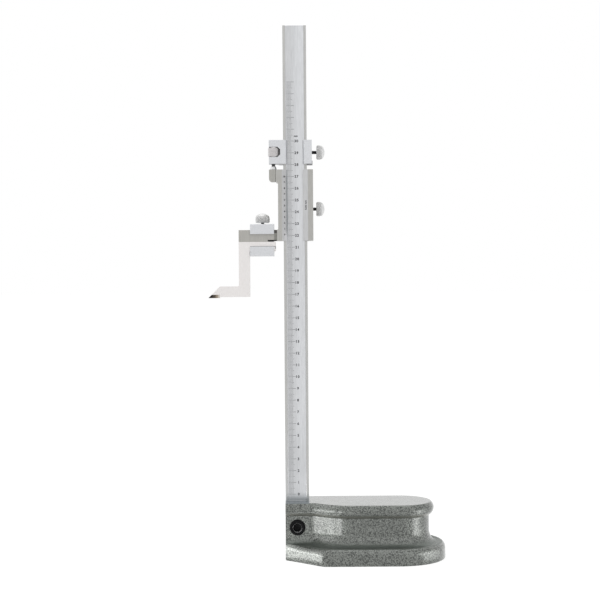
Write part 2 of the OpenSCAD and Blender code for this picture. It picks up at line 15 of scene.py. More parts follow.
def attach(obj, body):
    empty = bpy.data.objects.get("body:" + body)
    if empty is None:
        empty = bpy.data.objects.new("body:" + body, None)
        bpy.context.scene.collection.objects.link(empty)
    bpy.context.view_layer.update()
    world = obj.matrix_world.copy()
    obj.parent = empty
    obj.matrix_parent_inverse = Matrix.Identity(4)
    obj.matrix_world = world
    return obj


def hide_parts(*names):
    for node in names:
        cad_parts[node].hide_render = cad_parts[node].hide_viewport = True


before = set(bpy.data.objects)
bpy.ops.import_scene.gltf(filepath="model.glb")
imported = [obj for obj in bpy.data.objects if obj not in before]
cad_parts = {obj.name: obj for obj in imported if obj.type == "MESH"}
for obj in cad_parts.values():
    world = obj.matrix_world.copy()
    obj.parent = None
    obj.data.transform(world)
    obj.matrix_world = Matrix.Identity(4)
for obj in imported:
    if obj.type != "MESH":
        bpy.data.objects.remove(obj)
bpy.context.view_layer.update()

LOG = logging.getLogger("height_gauge")
# Metres in a millimetre, and radians in a turn
MM = 0.001
TURN = 2 * math.pi
# A limit beyond every piece, in millimetres
FAR = 1000.0
# Points nearer than this, in metres, are one point
SEAM = 1e-7
# Edges that turn by more than this many degrees stay sharp
SHARP = 32.0
# How far engraving stands out of its face, and how far it reaches in, in millimetres
PROUD = 0.012
SUNK = 0.05

Colour = tuple[float, float, float]
Point = tuple[float, float, float]
Span = tuple[float, float]
Feed = bpy.types.NodeSocket | float | tuple[float, ...]


# Surfaces


def quads(rows: int, cols: int, closed: bool) -> np.ndarray:
    """Corner numbers of a grid's quads.

    Args:
        rows: points along the first parameter.
        cols: points along the second parameter.
        closed: whether the last column joins the first.

    Returns:
        Array of shape (quads, 4).
    """
    row = np.arange(rows - 1)[:, None] * cols
    col = np.arange(cols if closed else cols - 1)[None, :]
    after = (col + 1) % cols
    return np.stack([row + col, row + after, row + cols + after, row + cols + col], -1).reshape(-1, 4)


def wave(phase: np.ndarray) -> np.ndarray:
    """Triangle wave of period 1: 1 at whole numbers, 0 half-way between them."""
    return np.abs(2 * (phase % 1.0) - 1)


def fillet(count: int, start: float, end: float) -> np.ndarray:
    """Evenly spaced angles in radians from start to end degrees, both included."""
    return np.radians(np.linspace(start, end, count))


def knurl(height: np.ndarray, columns: int, starts: int, pitch: float) -> np.ndarray:
    """Crossed knurl: two sets of helical grooves, of which the deeper counts at each point.

    A groove's depth is the square of a triangle wave of the turn, plus or minus the height over the pitch.

    Args:
        height: (rows,) heights.
        columns: points round the piece.
        starts: grooves of each set round the piece.
        pitch: height over which a groove moves on by one.

    Returns:
        (rows, columns) shares of the grooves' full depth.
    """
    turn = np.arange(columns) * starts / columns
    rise = height[:, None] / pitch
    return np.maximum(wave(turn + rise), wave(turn - rise)) ** 2


def thread(height: np.ndarray, columns: int, pitch: float, flat: float = 0.0) -> np.ndarray:
    """V thread: a triangle wave of the height over the pitch, less the turn, with flattened crests and roots.

    Args:
        height: (rows,) heights.
        columns: points round the piece.
        pitch: height of one turn.
        flat: share of the depth that crests and roots lose.

    Returns:
        (rows, columns) shares of the thread's full depth.
    """
    turn = np.arange(columns) / columns
    return np.clip(wave(height[:, None] / pitch - turn), flat, 1 - flat)


class Axis(Enum):
    """Which way a turned piece's own +Z points in the part's frame."""

    UP = ((1, 0, 0), (0, 1, 0), (0, 0, 1))
    RIGHT = ((0, 0, 1), (0, 1, 0), (-1, 0, 0))
    BACK = ((1, 0, 0), (0, 0, 1), (0, -1, 0))

    def place(self, points: np.ndarray, origin: Point) -> np.ndarray:
        """Points turned to this axis and moved to origin."""
        return points @ np.array(self.value, float).T + np.array(origin, float)


@dataclass(frozen=True)
class Placement:
    """A flat face that carries marks: a point is origin + u across + v up + n out."""

    origin: Point
    across: Point
    up: Point

    def point(self, local: np.ndarray) -> np.ndarray:
        """Points of the part's frame.

        Args:
            local: (..., 3) coordinates u, v and n in millimetres.

        Returns:
            Array of the same shape.
        """
        u, v = np.array(self.across, float), np.array(self.up, float)
        u, v = u / np.linalg.norm(u), v / np.linalg.norm(v)
        return local @ np.stack([u, v, np.cross(u, v)]) + np.array(self.origin, float)


@dataclass
class Surface:
    """Vertices and faces of one piece, gathered patch by patch, in millimetres."""

    points: list[np.ndarray] = field(default_factory=list)
    faces: list[np.ndarray] = field(default_factory=list)
    groove: list[np.ndarray] = field(default_factory=list)
    count: int = 0

    def add(self, points: np.ndarray, faces: np.ndarray, groove: np.ndarray | None = None) -> None:
        """Appends a patch.

        Args:
            points: (n, 3) vertices.
            faces: (m, corners) vertex numbers within the patch.
            groove: (n,) depth shares from 0, open, to 1, bottom of a groove.
        """
        self.points.append(points.reshape(-1, 3))
        self.faces.append(faces + self.count)
        self.groove.append(np.zeros(len(self.points[-1])) if groove is None else groove.reshape(-1))
        self.count += len(self.points[-1])

    def grid(self, points: np.ndarray, closed: bool = True, groove: np.ndarray | None = None) -> None:
        """Appends a (rows, columns, 3) grid, joined round its columns if closed."""
        self.add(points, quads(points.shape[0], points.shape[1], closed), groove)

    def blocks(self, low: np.ndarray, high: np.ndarray, place: Placement) -> None:
        """Appends closed boxes.

        Args:
            low: (n, 3) lower corners, in the placement's own axes.
            high: (n, 3) upper corners, likewise.
            place: where those axes lie.
        """
        pick = np.array([[i & 1, i >> 1 & 1, i >> 2 & 1] for i in range(8)], bool)
        corners = np.where(pick[None], high[:, None], low[:, None])
        sides = np.array([[0, 2, 3, 1], [4, 5, 7, 6], [0, 1, 5, 4], [2, 6, 7, 3], [0, 4, 6, 2], [1, 3, 7, 5]])
        faces = sides[None] + 8 * np.arange(len(low))[:, None, None]
        self.add(place.point(corners), faces.reshape(-1, 4))

    def build(self, name: str, sharp: float = SHARP) -> bpy.types.Object:
        """Makes the mesh object: doubles merged, faces outward, smooth up to an angle.

        Args:
            name: object name.
            sharp: edges that turn by more than this many degrees stay sharp.

        Returns:
            The new object, linked to the scene.
        """
        mesh = bpy.data.meshes.new(name)
        points = np.concatenate(self.points) * MM
        sizes = np.concatenate([np.full(len(f), f.shape[1]) for f in self.faces])
        loops = np.concatenate([f.reshape(-1) for f in self.faces])
        mesh.vertices.add(len(points))
        mesh.vertices.foreach_set("co", points.reshape(-1))
        mesh.loops.add(len(loops))
        mesh.loops.foreach_set("vertex_index", loops.astype(np.int32))
        mesh.polygons.add(len(sizes))
        mesh.polygons.foreach_set("loop_start", (np.cumsum(sizes) - sizes).astype(np.int32))
        mesh.update(calc_edges=True)
        depth = mesh.attributes.new("groove", "FLOAT", "POINT")
        depth.data.foreach_set("value", np.concatenate(self.groove))
        work = bmesh.new()
        work.from_mesh(mesh)
        bmesh.ops.remove_doubles(work, verts=work.verts, dist=SEAM)
        bmesh.ops.recalc_face_normals(work, faces=work.faces)
        work.to_mesh(mesh)
        work.free()
        mesh.validate()
        shade(mesh, sharp)
        obj = bpy.data.objects.new(name, mesh)
        bpy.context.scene.collection.objects.link(obj)
        return obj


@dataclass
class Turning:
    """Profile of a turned piece, gathered stretch by stretch: a point is (r cos a, r sin a, h)."""

    columns: int
    radii: list[np.ndarray] = field(default_factory=list)
    heights: list[np.ndarray] = field(default_factory=list)
    grooves: list[np.ndarray] = field(default_factory=list)

    def add(self, radius: Any, height: Any, groove: Any = 0.0) -> "Turning":
        """Appends a stretch of rows, each value one number, (rows,) numbers or (rows, columns) numbers.

        Args:
            radius: radii of the rows.
            height: heights of the rows, which also give their count.
            groove: depth shares of the rows from 0, open, to 1, bottom of a groove.

        Returns:
            The profile itself, for the next stretch.
        """
        count = len(np.atleast_1d(height))
        for kept, value in ((self.radii, radius), (self.heights, height), (self.grooves, groove)):
            rows = np.asarray(value, float)
            kept.append(np.broadcast_to(rows[:, None] if rows.ndim == 1 else rows, (count, self.columns)))
        return self

    def surface(self, axis: Axis, origin: Point) -> Surface:
        """The profile turned about its own +Z, which points along an axis.

        Args:
            axis: the way that +Z points.
            origin: where height 0 lies on the axis.

        Returns:
            The surface.
        """
        angle = np.arange(self.columns) * TURN / self.columns
        r, h = np.concatenate(self.radii), np.concatenate(self.heights)
        surface = Surface()
        surface.grid(axis.place(np.stack([r * np.cos(angle), r * np.sin(angle), h], -1), origin), True,
                     np.concatenate(self.grooves))
        return surface


def shade(mesh: bpy.types.Mesh, sharp: float) -> None:
    """Smooth shading with the edges above sharp degrees kept sharp."""
    mesh.shade_smooth()
    mesh.set_sharp_from_angle(angle=math.radians(sharp))


def cut(target: bpy.types.Object, tools: list[bpy.types.Object]) -> None:
    """Takes solids out of an object, keeps the result as its mesh and deletes the solids.

    Args:
        target: the object.
        tools: the solids.
    """
    for tool in tools:
        step = target.modifiers.new("cut", "BOOLEAN")
        step.operation, step.solver, step.object = "DIFFERENCE", "EXACT", tool
    graph = bpy.context.evaluated_depsgraph_get()
    mesh = bpy.data.meshes.new_from_object(target.evaluated_get(graph))
    mesh.name = target.name
    target.modifiers.clear()
    old, target.data = target.data, mesh
    bpy.data.meshes.remove(old)
    for tool in tools:
        bpy.data.meshes.remove(tool.data)
    shade(mesh, SHARP)


@dataclass(frozen=True)
class Lettering:
    """Plain characters as thin slabs that stand a hair proud of the face they mark.

    The weight is the stroke's growth as a share of the height, and cap is the height of a numeral over its
    font's size.
    """

    height: float
    weight: float
    spacing: float = 1.0
    cap: float = 0.7

    def outline(self, text: str) -> tuple[np.ndarray, np.ndarray]:
        """Triangles of one label.

        Args:
            text: the label.

        Returns:
            (n, 3) points centred on the origin in u, v, n, and (m, 3) corner numbers.
        """
        curve = bpy.data.curves.new("label", "FONT")
        curve.body, curve.size, curve.resolution_u = text, self.height / self.cap, 3
        curve.offset, curve.extrude, curve.space_character = self.weight * self.height, 0.5, self.spacing
        label = bpy.data.objects.new("label", curve)
        bpy.context.scene.collection.objects.link(label)
        graph = bpy.context.evaluated_depsgraph_get()
        mesh = bpy.data.meshes.new_from_object(label.evaluated_get(graph))
        mesh.calc_loop_triangles()
        points = np.empty(len(mesh.vertices) * 3)
        mesh.vertices.foreach_get("co", points)
        corners = np.empty(len(mesh.loop_triangles) * 3, np.int32)
        mesh.loop_triangles.foreach_get("vertices", corners)
        bpy.data.meshes.remove(mesh)
        bpy.data.curves.remove(curve)
        points = points.reshape(-1, 3)
        points -= (points.min(0) + points.max(0)) / 2
        points[:, 2] = np.where(points[:, 2] > 0, PROUD, -SUNK)
        return points, corners.reshape(-1, 3)

    def write(self, surface: Surface, place: Placement, text: str, u: float, v: float) -> None:
        """Adds a label to a surface with its middle at (u, v) of a placement."""
        points, corners = self.outline(text)
        surface.add(place.point(points + np.array([u, v, 0.0])), corners)


def scale_lines(place: Placement, start: Any, end: Any, middle: np.ndarray, width: Any) -> Surface:
    """Filled lines of a scale, as thin blocks across a face.

    Args:
        place: the face.
        start: where the lines start across the face, one number or (n,).
        end: where they end, likewise.
        middle: (n,) places of the lines up the face.
        width: widths of the lines, one number or (n,).

    Returns:
        The lines.
    """
    start, end, middle, width = np.broadcast_arrays(start, end, middle, width)
    surface = Surface()
    surface.blocks(np.stack([start, middle - width / 2, np.full(len(middle), -SUNK)], -1),
                   np.stack([end, middle + width / 2, np.full(len(middle), PROUD)], -1), place)
    return surface


# Finishes


class Shading:
    """Short calls that place and link nodes in one shader tree."""

    def __init__(self, tree: bpy.types.NodeTree) -> None:
        """Keeps the tree."""
        self.tree = tree

    def feed(self, node: bpy.types.Node, sockets: dict[str | int, Feed]) -> None:
        """Sets or links a node's inputs.

        Args:
            node: the node.
            sockets: input socket to its value, or to the output socket that feeds it.
        """
        for key, value in sockets.items():
            if isinstance(value, bpy.types.NodeSocket):
                self.tree.links.new(value, node.inputs[key])
            else:
                node.inputs[key].default_value = value

    def add(self, kind: str, sockets: dict[str | int, Feed] | None = None, **settings: Any) -> bpy.types.Node:
        """Places a node.

        Args:
            kind: node type name without its ShaderNode prefix.
            sockets: input socket to its value, or to the output socket that feeds it.
            settings: node properties.

        Returns:
            The node.
        """
        node = self.tree.nodes.new(kind if kind.startswith("Node") else "ShaderNode" + kind)
        for key, value in settings.items():
            setattr(node, key, value)
        self.feed(node, sockets or {})
        return node

    def math(self, operation: str, *values: Feed) -> bpy.types.NodeSocket:
        """Result of a Math node on numbers or sockets."""
        return self.add("Math", dict(enumerate(values)), operation=operation).outputs[0]

    def vector(self, operation: str, *values: Feed) -> bpy.types.NodeSocket:
        """Result of a Vector Math node on vectors or sockets."""
        return self.add("VectorMath", dict(enumerate(values)), operation=operation).outputs[0]

    def ramp(self, value: Feed, *limits: Feed, **settings: Any) -> bpy.types.NodeSocket:
        """Map Range of a value with From Min, From Max and, where they aren't 0 and 1, To Min and To Max."""
        return self.add("MapRange", dict(enumerate((value, *limits))), **settings).outputs[0]

    def mix(self, share: Feed, first: Feed, second: Feed, blend: str = "MIX") -> bpy.types.NodeSocket:
        """Colour that goes from first to second, or to their blend, with share."""
        node = self.add("Mix", {0: share, 6: first, 7: second}, data_type="RGBA", blend_type=blend)
        return node.outputs[2]

    def span(self, share: Feed, first: Feed, second: Feed) -> bpy.types.NodeSocket:
        """Number that goes from first to second with share."""
        return self.add("Mix", {0: share, 2: first, 3: second}, data_type="FLOAT").outputs[0]

    def group(self, tree: bpy.types.NodeTree, *values: Feed) -> bpy.types.NodeSocket:
        """Output of a node group with its inputs set in order."""
        return self.add("Group", dict(enumerate(values)), node_tree=tree).outputs[0]

    def place(self) -> bpy.types.NodeSocket:
        """Position on the piece, in metres."""
        return self.add("TexCoord").outputs["Object"]


def node_group(name: str, inputs: dict[str, str],
               output: str) -> tuple[bpy.types.NodeTree, Shading, Any, bpy.types.Node]:
    """Starts a shader node group with one number as its output.

    Args:
        name: group name.
        inputs: input name to socket type without its NodeSocket prefix.
        output: output name.

    Returns:
        The group, its Shading, the sockets that its inputs come in by, and its output node.
    """
    group = bpy.data.node_groups.new(name, "ShaderNodeTree")
    for socket, kind in inputs.items():
        group.interface.new_socket(socket, in_out="INPUT", socket_type="NodeSocket" + kind)
    group.interface.new_socket(output, in_out="OUTPUT", socket_type="NodeSocketFloat")
    net = Shading(group)
    return group, net, net.add("NodeGroupInput").outputs, net.add("NodeGroupOutput")


def grinding_group() -> bpy.types.NodeTree:
    """Grinding lines: noise that is stretched along the direction of grinding.

    Returns:
        The node group.
    """
    group, net, given, end = node_group("grinding_lines", {"Lines per metre": "Vector"}, "Lines")
    stretched = net.vector("MULTIPLY", net.place(), given[0])
    noise = net.add("TexNoise", {"Vector": stretched, "Scale": 1.0, "Detail": 4.0, "Roughness": 0.65})
    net.feed(end, {0: noise.outputs[0]})
    return group


def handling_group() -> bpy.types.NodeTree:
    """Handling smudges: soft noise, pushed towards clean or dull.

    Returns:
        The node group.
    """
    group, net, given, end = node_group("handling_smudges", {"Size per metre": "Float"}, "Smudge")
    noise = net.add("TexNoise", {"Vector": net.place(), "Scale": given[0], "Detail": 3.0, "Distortion": 0.4})
    net.feed(end, {0: net.ramp(noise.outputs[0], 0.38, 0.68)})
    return group


def groove_group() -> bpy.types.NodeTree:
    """Groove dirt and painted shade: how deep a point lies in a knurl, thread or crease, broken by noise.

    Returns:
        The node group.
    """
    group, net, given, end = node_group("groove_dirt_and_shade", {"Reach": "Float"}, "Dirt")
    depth = net.add("Attribute", attribute_name="groove")
    noise = net.add("TexNoise", {"Vector": net.place(), "Scale": 900.0, "Detail": 2.0})
    spread = net.math("MULTIPLY_ADD", noise.outputs[0], 0.5, depth.outputs["Fac"])
    net.feed(end, {0: net.ramp(spread, 0.45, given[0])})
    return group


def box_group() -> bpy.types.NodeTree:
    """Box zone, by how far a point lies past the box's nearest side.

    The mask goes smoothly from 0, at the soft distance outside, to 1, at the same distance inside.

    Returns:
        The node group.
    """
    inputs = {"Middle": "Vector", "Half": "Vector", "Soft": "Float"}
    group, net, given, end = node_group("box_zone", inputs, "Mask")
    away = net.vector("ABSOLUTE", net.vector("SUBTRACT", net.place(), given[0]))
    xyz = net.add("SeparateXYZ", {0: net.vector("SUBTRACT", away, given[1])}).outputs
    past = net.math("MAXIMUM", net.math("MAXIMUM", xyz[0], xyz[1]), xyz[2])
    inner = net.math("MULTIPLY", given[2], -1.0)
    net.feed(end, {0: net.ramp(past, given[2], inner, interpolation_type="SMOOTHSTEP")})
    return group


GRINDING, HANDLING, GROOVE, BOX = grinding_group(), handling_group(), groove_group(), box_group()


def new_material(name: str) -> tuple[bpy.types.Material, Shading, bpy.types.Node]:
    """An empty material with its Principled shader linked to the output.

    Args:
        name: material name.

    Returns:
        The material, its Shading and its Principled shader.
    """
    material = bpy.data.materials.new(name)
    material.use_nodes = True
    material.node_tree.nodes.clear()
    net = Shading(material.node_tree)
    shader = net.add("BsdfPrincipled")
    net.add("OutputMaterial", {"Surface": shader.outputs[0]})
    return material, net, shader


@dataclass(frozen=True)
class Zone:
    """Box on a piece in the part's millimetres, open along axes that it doesn't limit, with a soft edge."""

    x: Span = (-FAR, FAR)
    y: Span = (-FAR, FAR)
    z: Span = (-FAR, FAR)
    soft: float = 0.02

    def mask(self, net: Shading) -> bpy.types.NodeSocket:
        """Share of the box at a point."""
        low, high = np.array([self.x, self.y, self.z]).T * MM
        return net.group(BOX, tuple((low + high) / 2), tuple((high - low) / 2), self.soft * MM)


@dataclass(frozen=True)
class Patch:
    """Zone of a piece with a colour and a roughness of its own."""

    zone: Zone
    colour: Colour
    roughness: float


def lay_patches(net: Shading, patches: Iterable[Patch], colour: Feed, rough: Feed) -> tuple[Feed, Feed]:
    """Lays patches over a finish, each over those before it.

    Args:
        net: the material's tree.
        patches: patches to lay.
        colour: colour of the finish.
        rough: roughness of the finish.

    Returns:
        Colour and roughness with the patches.
    """
    for patch in patches:
        mask = patch.zone.mask(net)
        colour = net.mix(mask, colour, (*patch.colour, 1.0))
        rough = net.span(mask, rough, patch.roughness)
    return colour, rough


@dataclass(frozen=True)
class Steel:
    """Bare or plated steel: a colour broken by grinding lines and faint handling smudges."""

    name: str
    colour: Colour
    roughness: float
    lines: tuple[float, float, float] = (2500.0, 2500.0, 120.0)
    contrast: float = 0.10
    smudge: float = 0.06
    smudges_per_metre: float = 55.0
    relief: float = 0.04
    line_depth: float = 0.05
    metallic: float = 1.0
    specular: float = 0.5
    dirt_and_shade: float = 0.0
    dirt_and_shade_reach: float = 1.25
    patches: tuple[Patch, ...] = ()

    def material(self) -> bpy.types.Material:
        """Patches set colour and roughness, lines vary the colour, smudges dull it and dirt with painted
        shade darkens grooves.

        Returns:
            The material.
        """
        material, net, shader = new_material(self.name)
        lines = net.group(GRINDING, self.lines)
        smudges = net.group(HANDLING, self.smudges_per_metre)
        colour, rough = lay_patches(net, self.patches, (*self.colour, 1.0), self.roughness)
        tone = net.ramp(lines, 0.3, 0.7, 1 - self.contrast, 1 + self.contrast)
        colour = net.mix(1.0, colour, tone, "MULTIPLY")
        # Dirt with painted shade: grooves darken by the groove mask
        if self.dirt_and_shade:
            dark = tuple(c * (1 - self.dirt_and_shade) for c in self.colour)
            colour = net.mix(net.group(GROOVE, self.dirt_and_shade_reach), colour, (*dark, 1.0))
        bump = net.add("Bump", {"Strength": self.relief, "Distance": self.line_depth * MM, "Height": lines})
        net.feed(shader, {
            "Base Color": colour,
            "Roughness": net.math("MULTIPLY_ADD", smudges, self.smudge, rough),
            "Normal": bump.outputs[0],
            "Metallic": self.metallic,
            "Specular IOR Level": self.specular,
        })
        return material


@dataclass(frozen=True)
class HammerPaint:
    """Hammer enamel: fine cells with pale middles and dark rims, creases in painted shade and a ground iron
    sole.
    """

    name: str = "hammer_paint"
    dark: Colour = (0.022, 0.028, 0.022)
    mid: Colour = (0.160, 0.172, 0.156)
    light: Colour = (0.380, 0.395, 0.370)
    stops: tuple[float, float, float, float] = (0.16, 0.36, 0.56, 0.78)
    # Painted shade with some dirt in the creases: its colour, and how far the groove mask reaches
    crease: Colour = (0.150, 0.168, 0.152)
    dirt_and_shade_reach: float = 1.1
    sole: Colour = (0.40, 0.40, 0.39)
    sole_top: float = 0.05
    cell: float = 1.0
    cell_smooth: float = 0.35
    cell_depth: float = 0.25
    warp: float = 0.5
    clouds_per_metre: float = 160.0
    cloud_share: float = 0.22
    relief: float = 0.8
    roughness: float = 0.36
    gloss_swing: float = 0.12
    metallic: float = 0.6
    coat: float = 1.0
    dirt_and_shade_coat: float = 0.1
    # Clear coat in the creases, thinned as part of their painted shade
    coat_roughness: float = 0.2
    coat_ior: float = 1.62
    patches: tuple[Patch, ...] = ()

    def cells(self, net: Shading, place: bpy.types.NodeSocket) -> bpy.types.NodeSocket:
        """Distance from the nearest cell middle, on a place that soft noise has moved.

        Args:
            net: the material's tree.
            place: position on the piece.

        Returns:
            The distance, as a share of a cell.
        """
        drift = net.add("TexNoise", {"Vector": place, "Scale": 0.5 / (self.cell * MM), "Detail": 2.0})
        shift = net.vector("SUBTRACT", drift.outputs["Color"], (0.5, 0.5, 0.5))
        move = net.add("VectorMath", {0: shift, "Scale": self.warp * 2 * self.cell * MM}, operation="SCALE")
        moved = net.vector("ADD", place, move.outputs[0])
        sockets = {"Vector": moved, "Scale": 1 / (self.cell * MM), "Smoothness": self.cell_smooth}
        return net.add("TexVoronoi", sockets, feature="SMOOTH_F1").outputs["Distance"]

    def tint(self, net: Shading, level: bpy.types.NodeSocket) -> bpy.types.NodeSocket:
        """Colour from a cell's pale middle, over two stops of the middle tone, to its dark rim.

        Args:
            net: the material's tree.
            level: where a point lies between the middle and the rim.

        Returns:
            The colour.
        """
        ramp = net.add("ValToRGB", {0: level})
        band = ramp.color_ramp.elements
        band[0].position, band[1].position = self.stops[0], self.stops[-1]
        for position in self.stops[1:-1]:
            band.new(position)
        for element, colour in zip(band, (self.light, self.mid, self.mid, self.dark)):
            element.color = (*colour, 1.0)
        return ramp.outputs[0]

    def material(self) -> bpy.types.Material:
        """Cells give colour and relief, clouds vary colour and gloss; painted crease shade darkens and dulls
        the coat.

        Returns:
            The material.
        """
        material, net, shader = new_material(self.name)
        place = net.place()
        cells = self.cells(net, place)
        sockets = {"Vector": place, "Scale": self.clouds_per_metre, "Detail": 3.0}
        clouds = net.add("TexNoise", sockets).outputs[0]
        tint = self.tint(net, net.math("MULTIPLY_ADD", clouds, self.cloud_share, cells))
        gloss = net.math("MULTIPLY_ADD", clouds, self.gloss_swing, self.roughness - self.gloss_swing / 2)
        colour, gloss = lay_patches(net, self.patches, tint, gloss)
        # Painted shade with some dirt in the creases, from the groove attribute
        dirt_and_shade = net.group(GROOVE, self.dirt_and_shade_reach)
        height = net.add("SeparateXYZ", {0: place}).outputs[2]
        ground = net.math("LESS_THAN", height, self.sole_top * MM)
        colour = net.mix(dirt_and_shade, colour, (*self.crease, 1.0))
        colour = net.mix(ground, colour, (*self.sole, 1.0))
        bump = net.add("Bump", {"Strength": self.relief, "Distance": self.cell_depth * MM, "Height": cells},
                       invert=True)
        net.feed(shader, {
            "Base Color": colour,
            "Metallic": net.span(ground, self.metallic, 1.0),
            "Roughness": gloss,
            "Normal": bump.outputs[0],
            "Coat Weight": net.span(dirt_and_shade, self.coat, self.dirt_and_shade_coat),
            "Coat Roughness": self.coat_roughness,
            "Coat IOR": self.coat_ior,
        })
        return material


@dataclass(frozen=True)
class Ink:
    """Filled engraving: near black, worn a little unevenly."""

    name: str
    dark: Colour
    pale: Colour
    wear_per_metre: float = 240.0
    roughness: float = 0.6
    specular: float = 0.2

    def material(self) -> bpy.types.Material:
        """Soft noise moves the colour between dark and pale.

        Returns:
            The material.
        """
        material, net, shader = new_material(self.name)
        wear = net.group(HANDLING, self.wear_per_metre)
        net.feed(shader, {
            "Base Color": net.mix(wear, (*self.dark, 1.0), (*self.pale, 1.0)),
            "Roughness": self.roughness,
            "Specular IOR Level": self.specular,
        })
        return material


Finish = Steel | HammerPaint | Ink


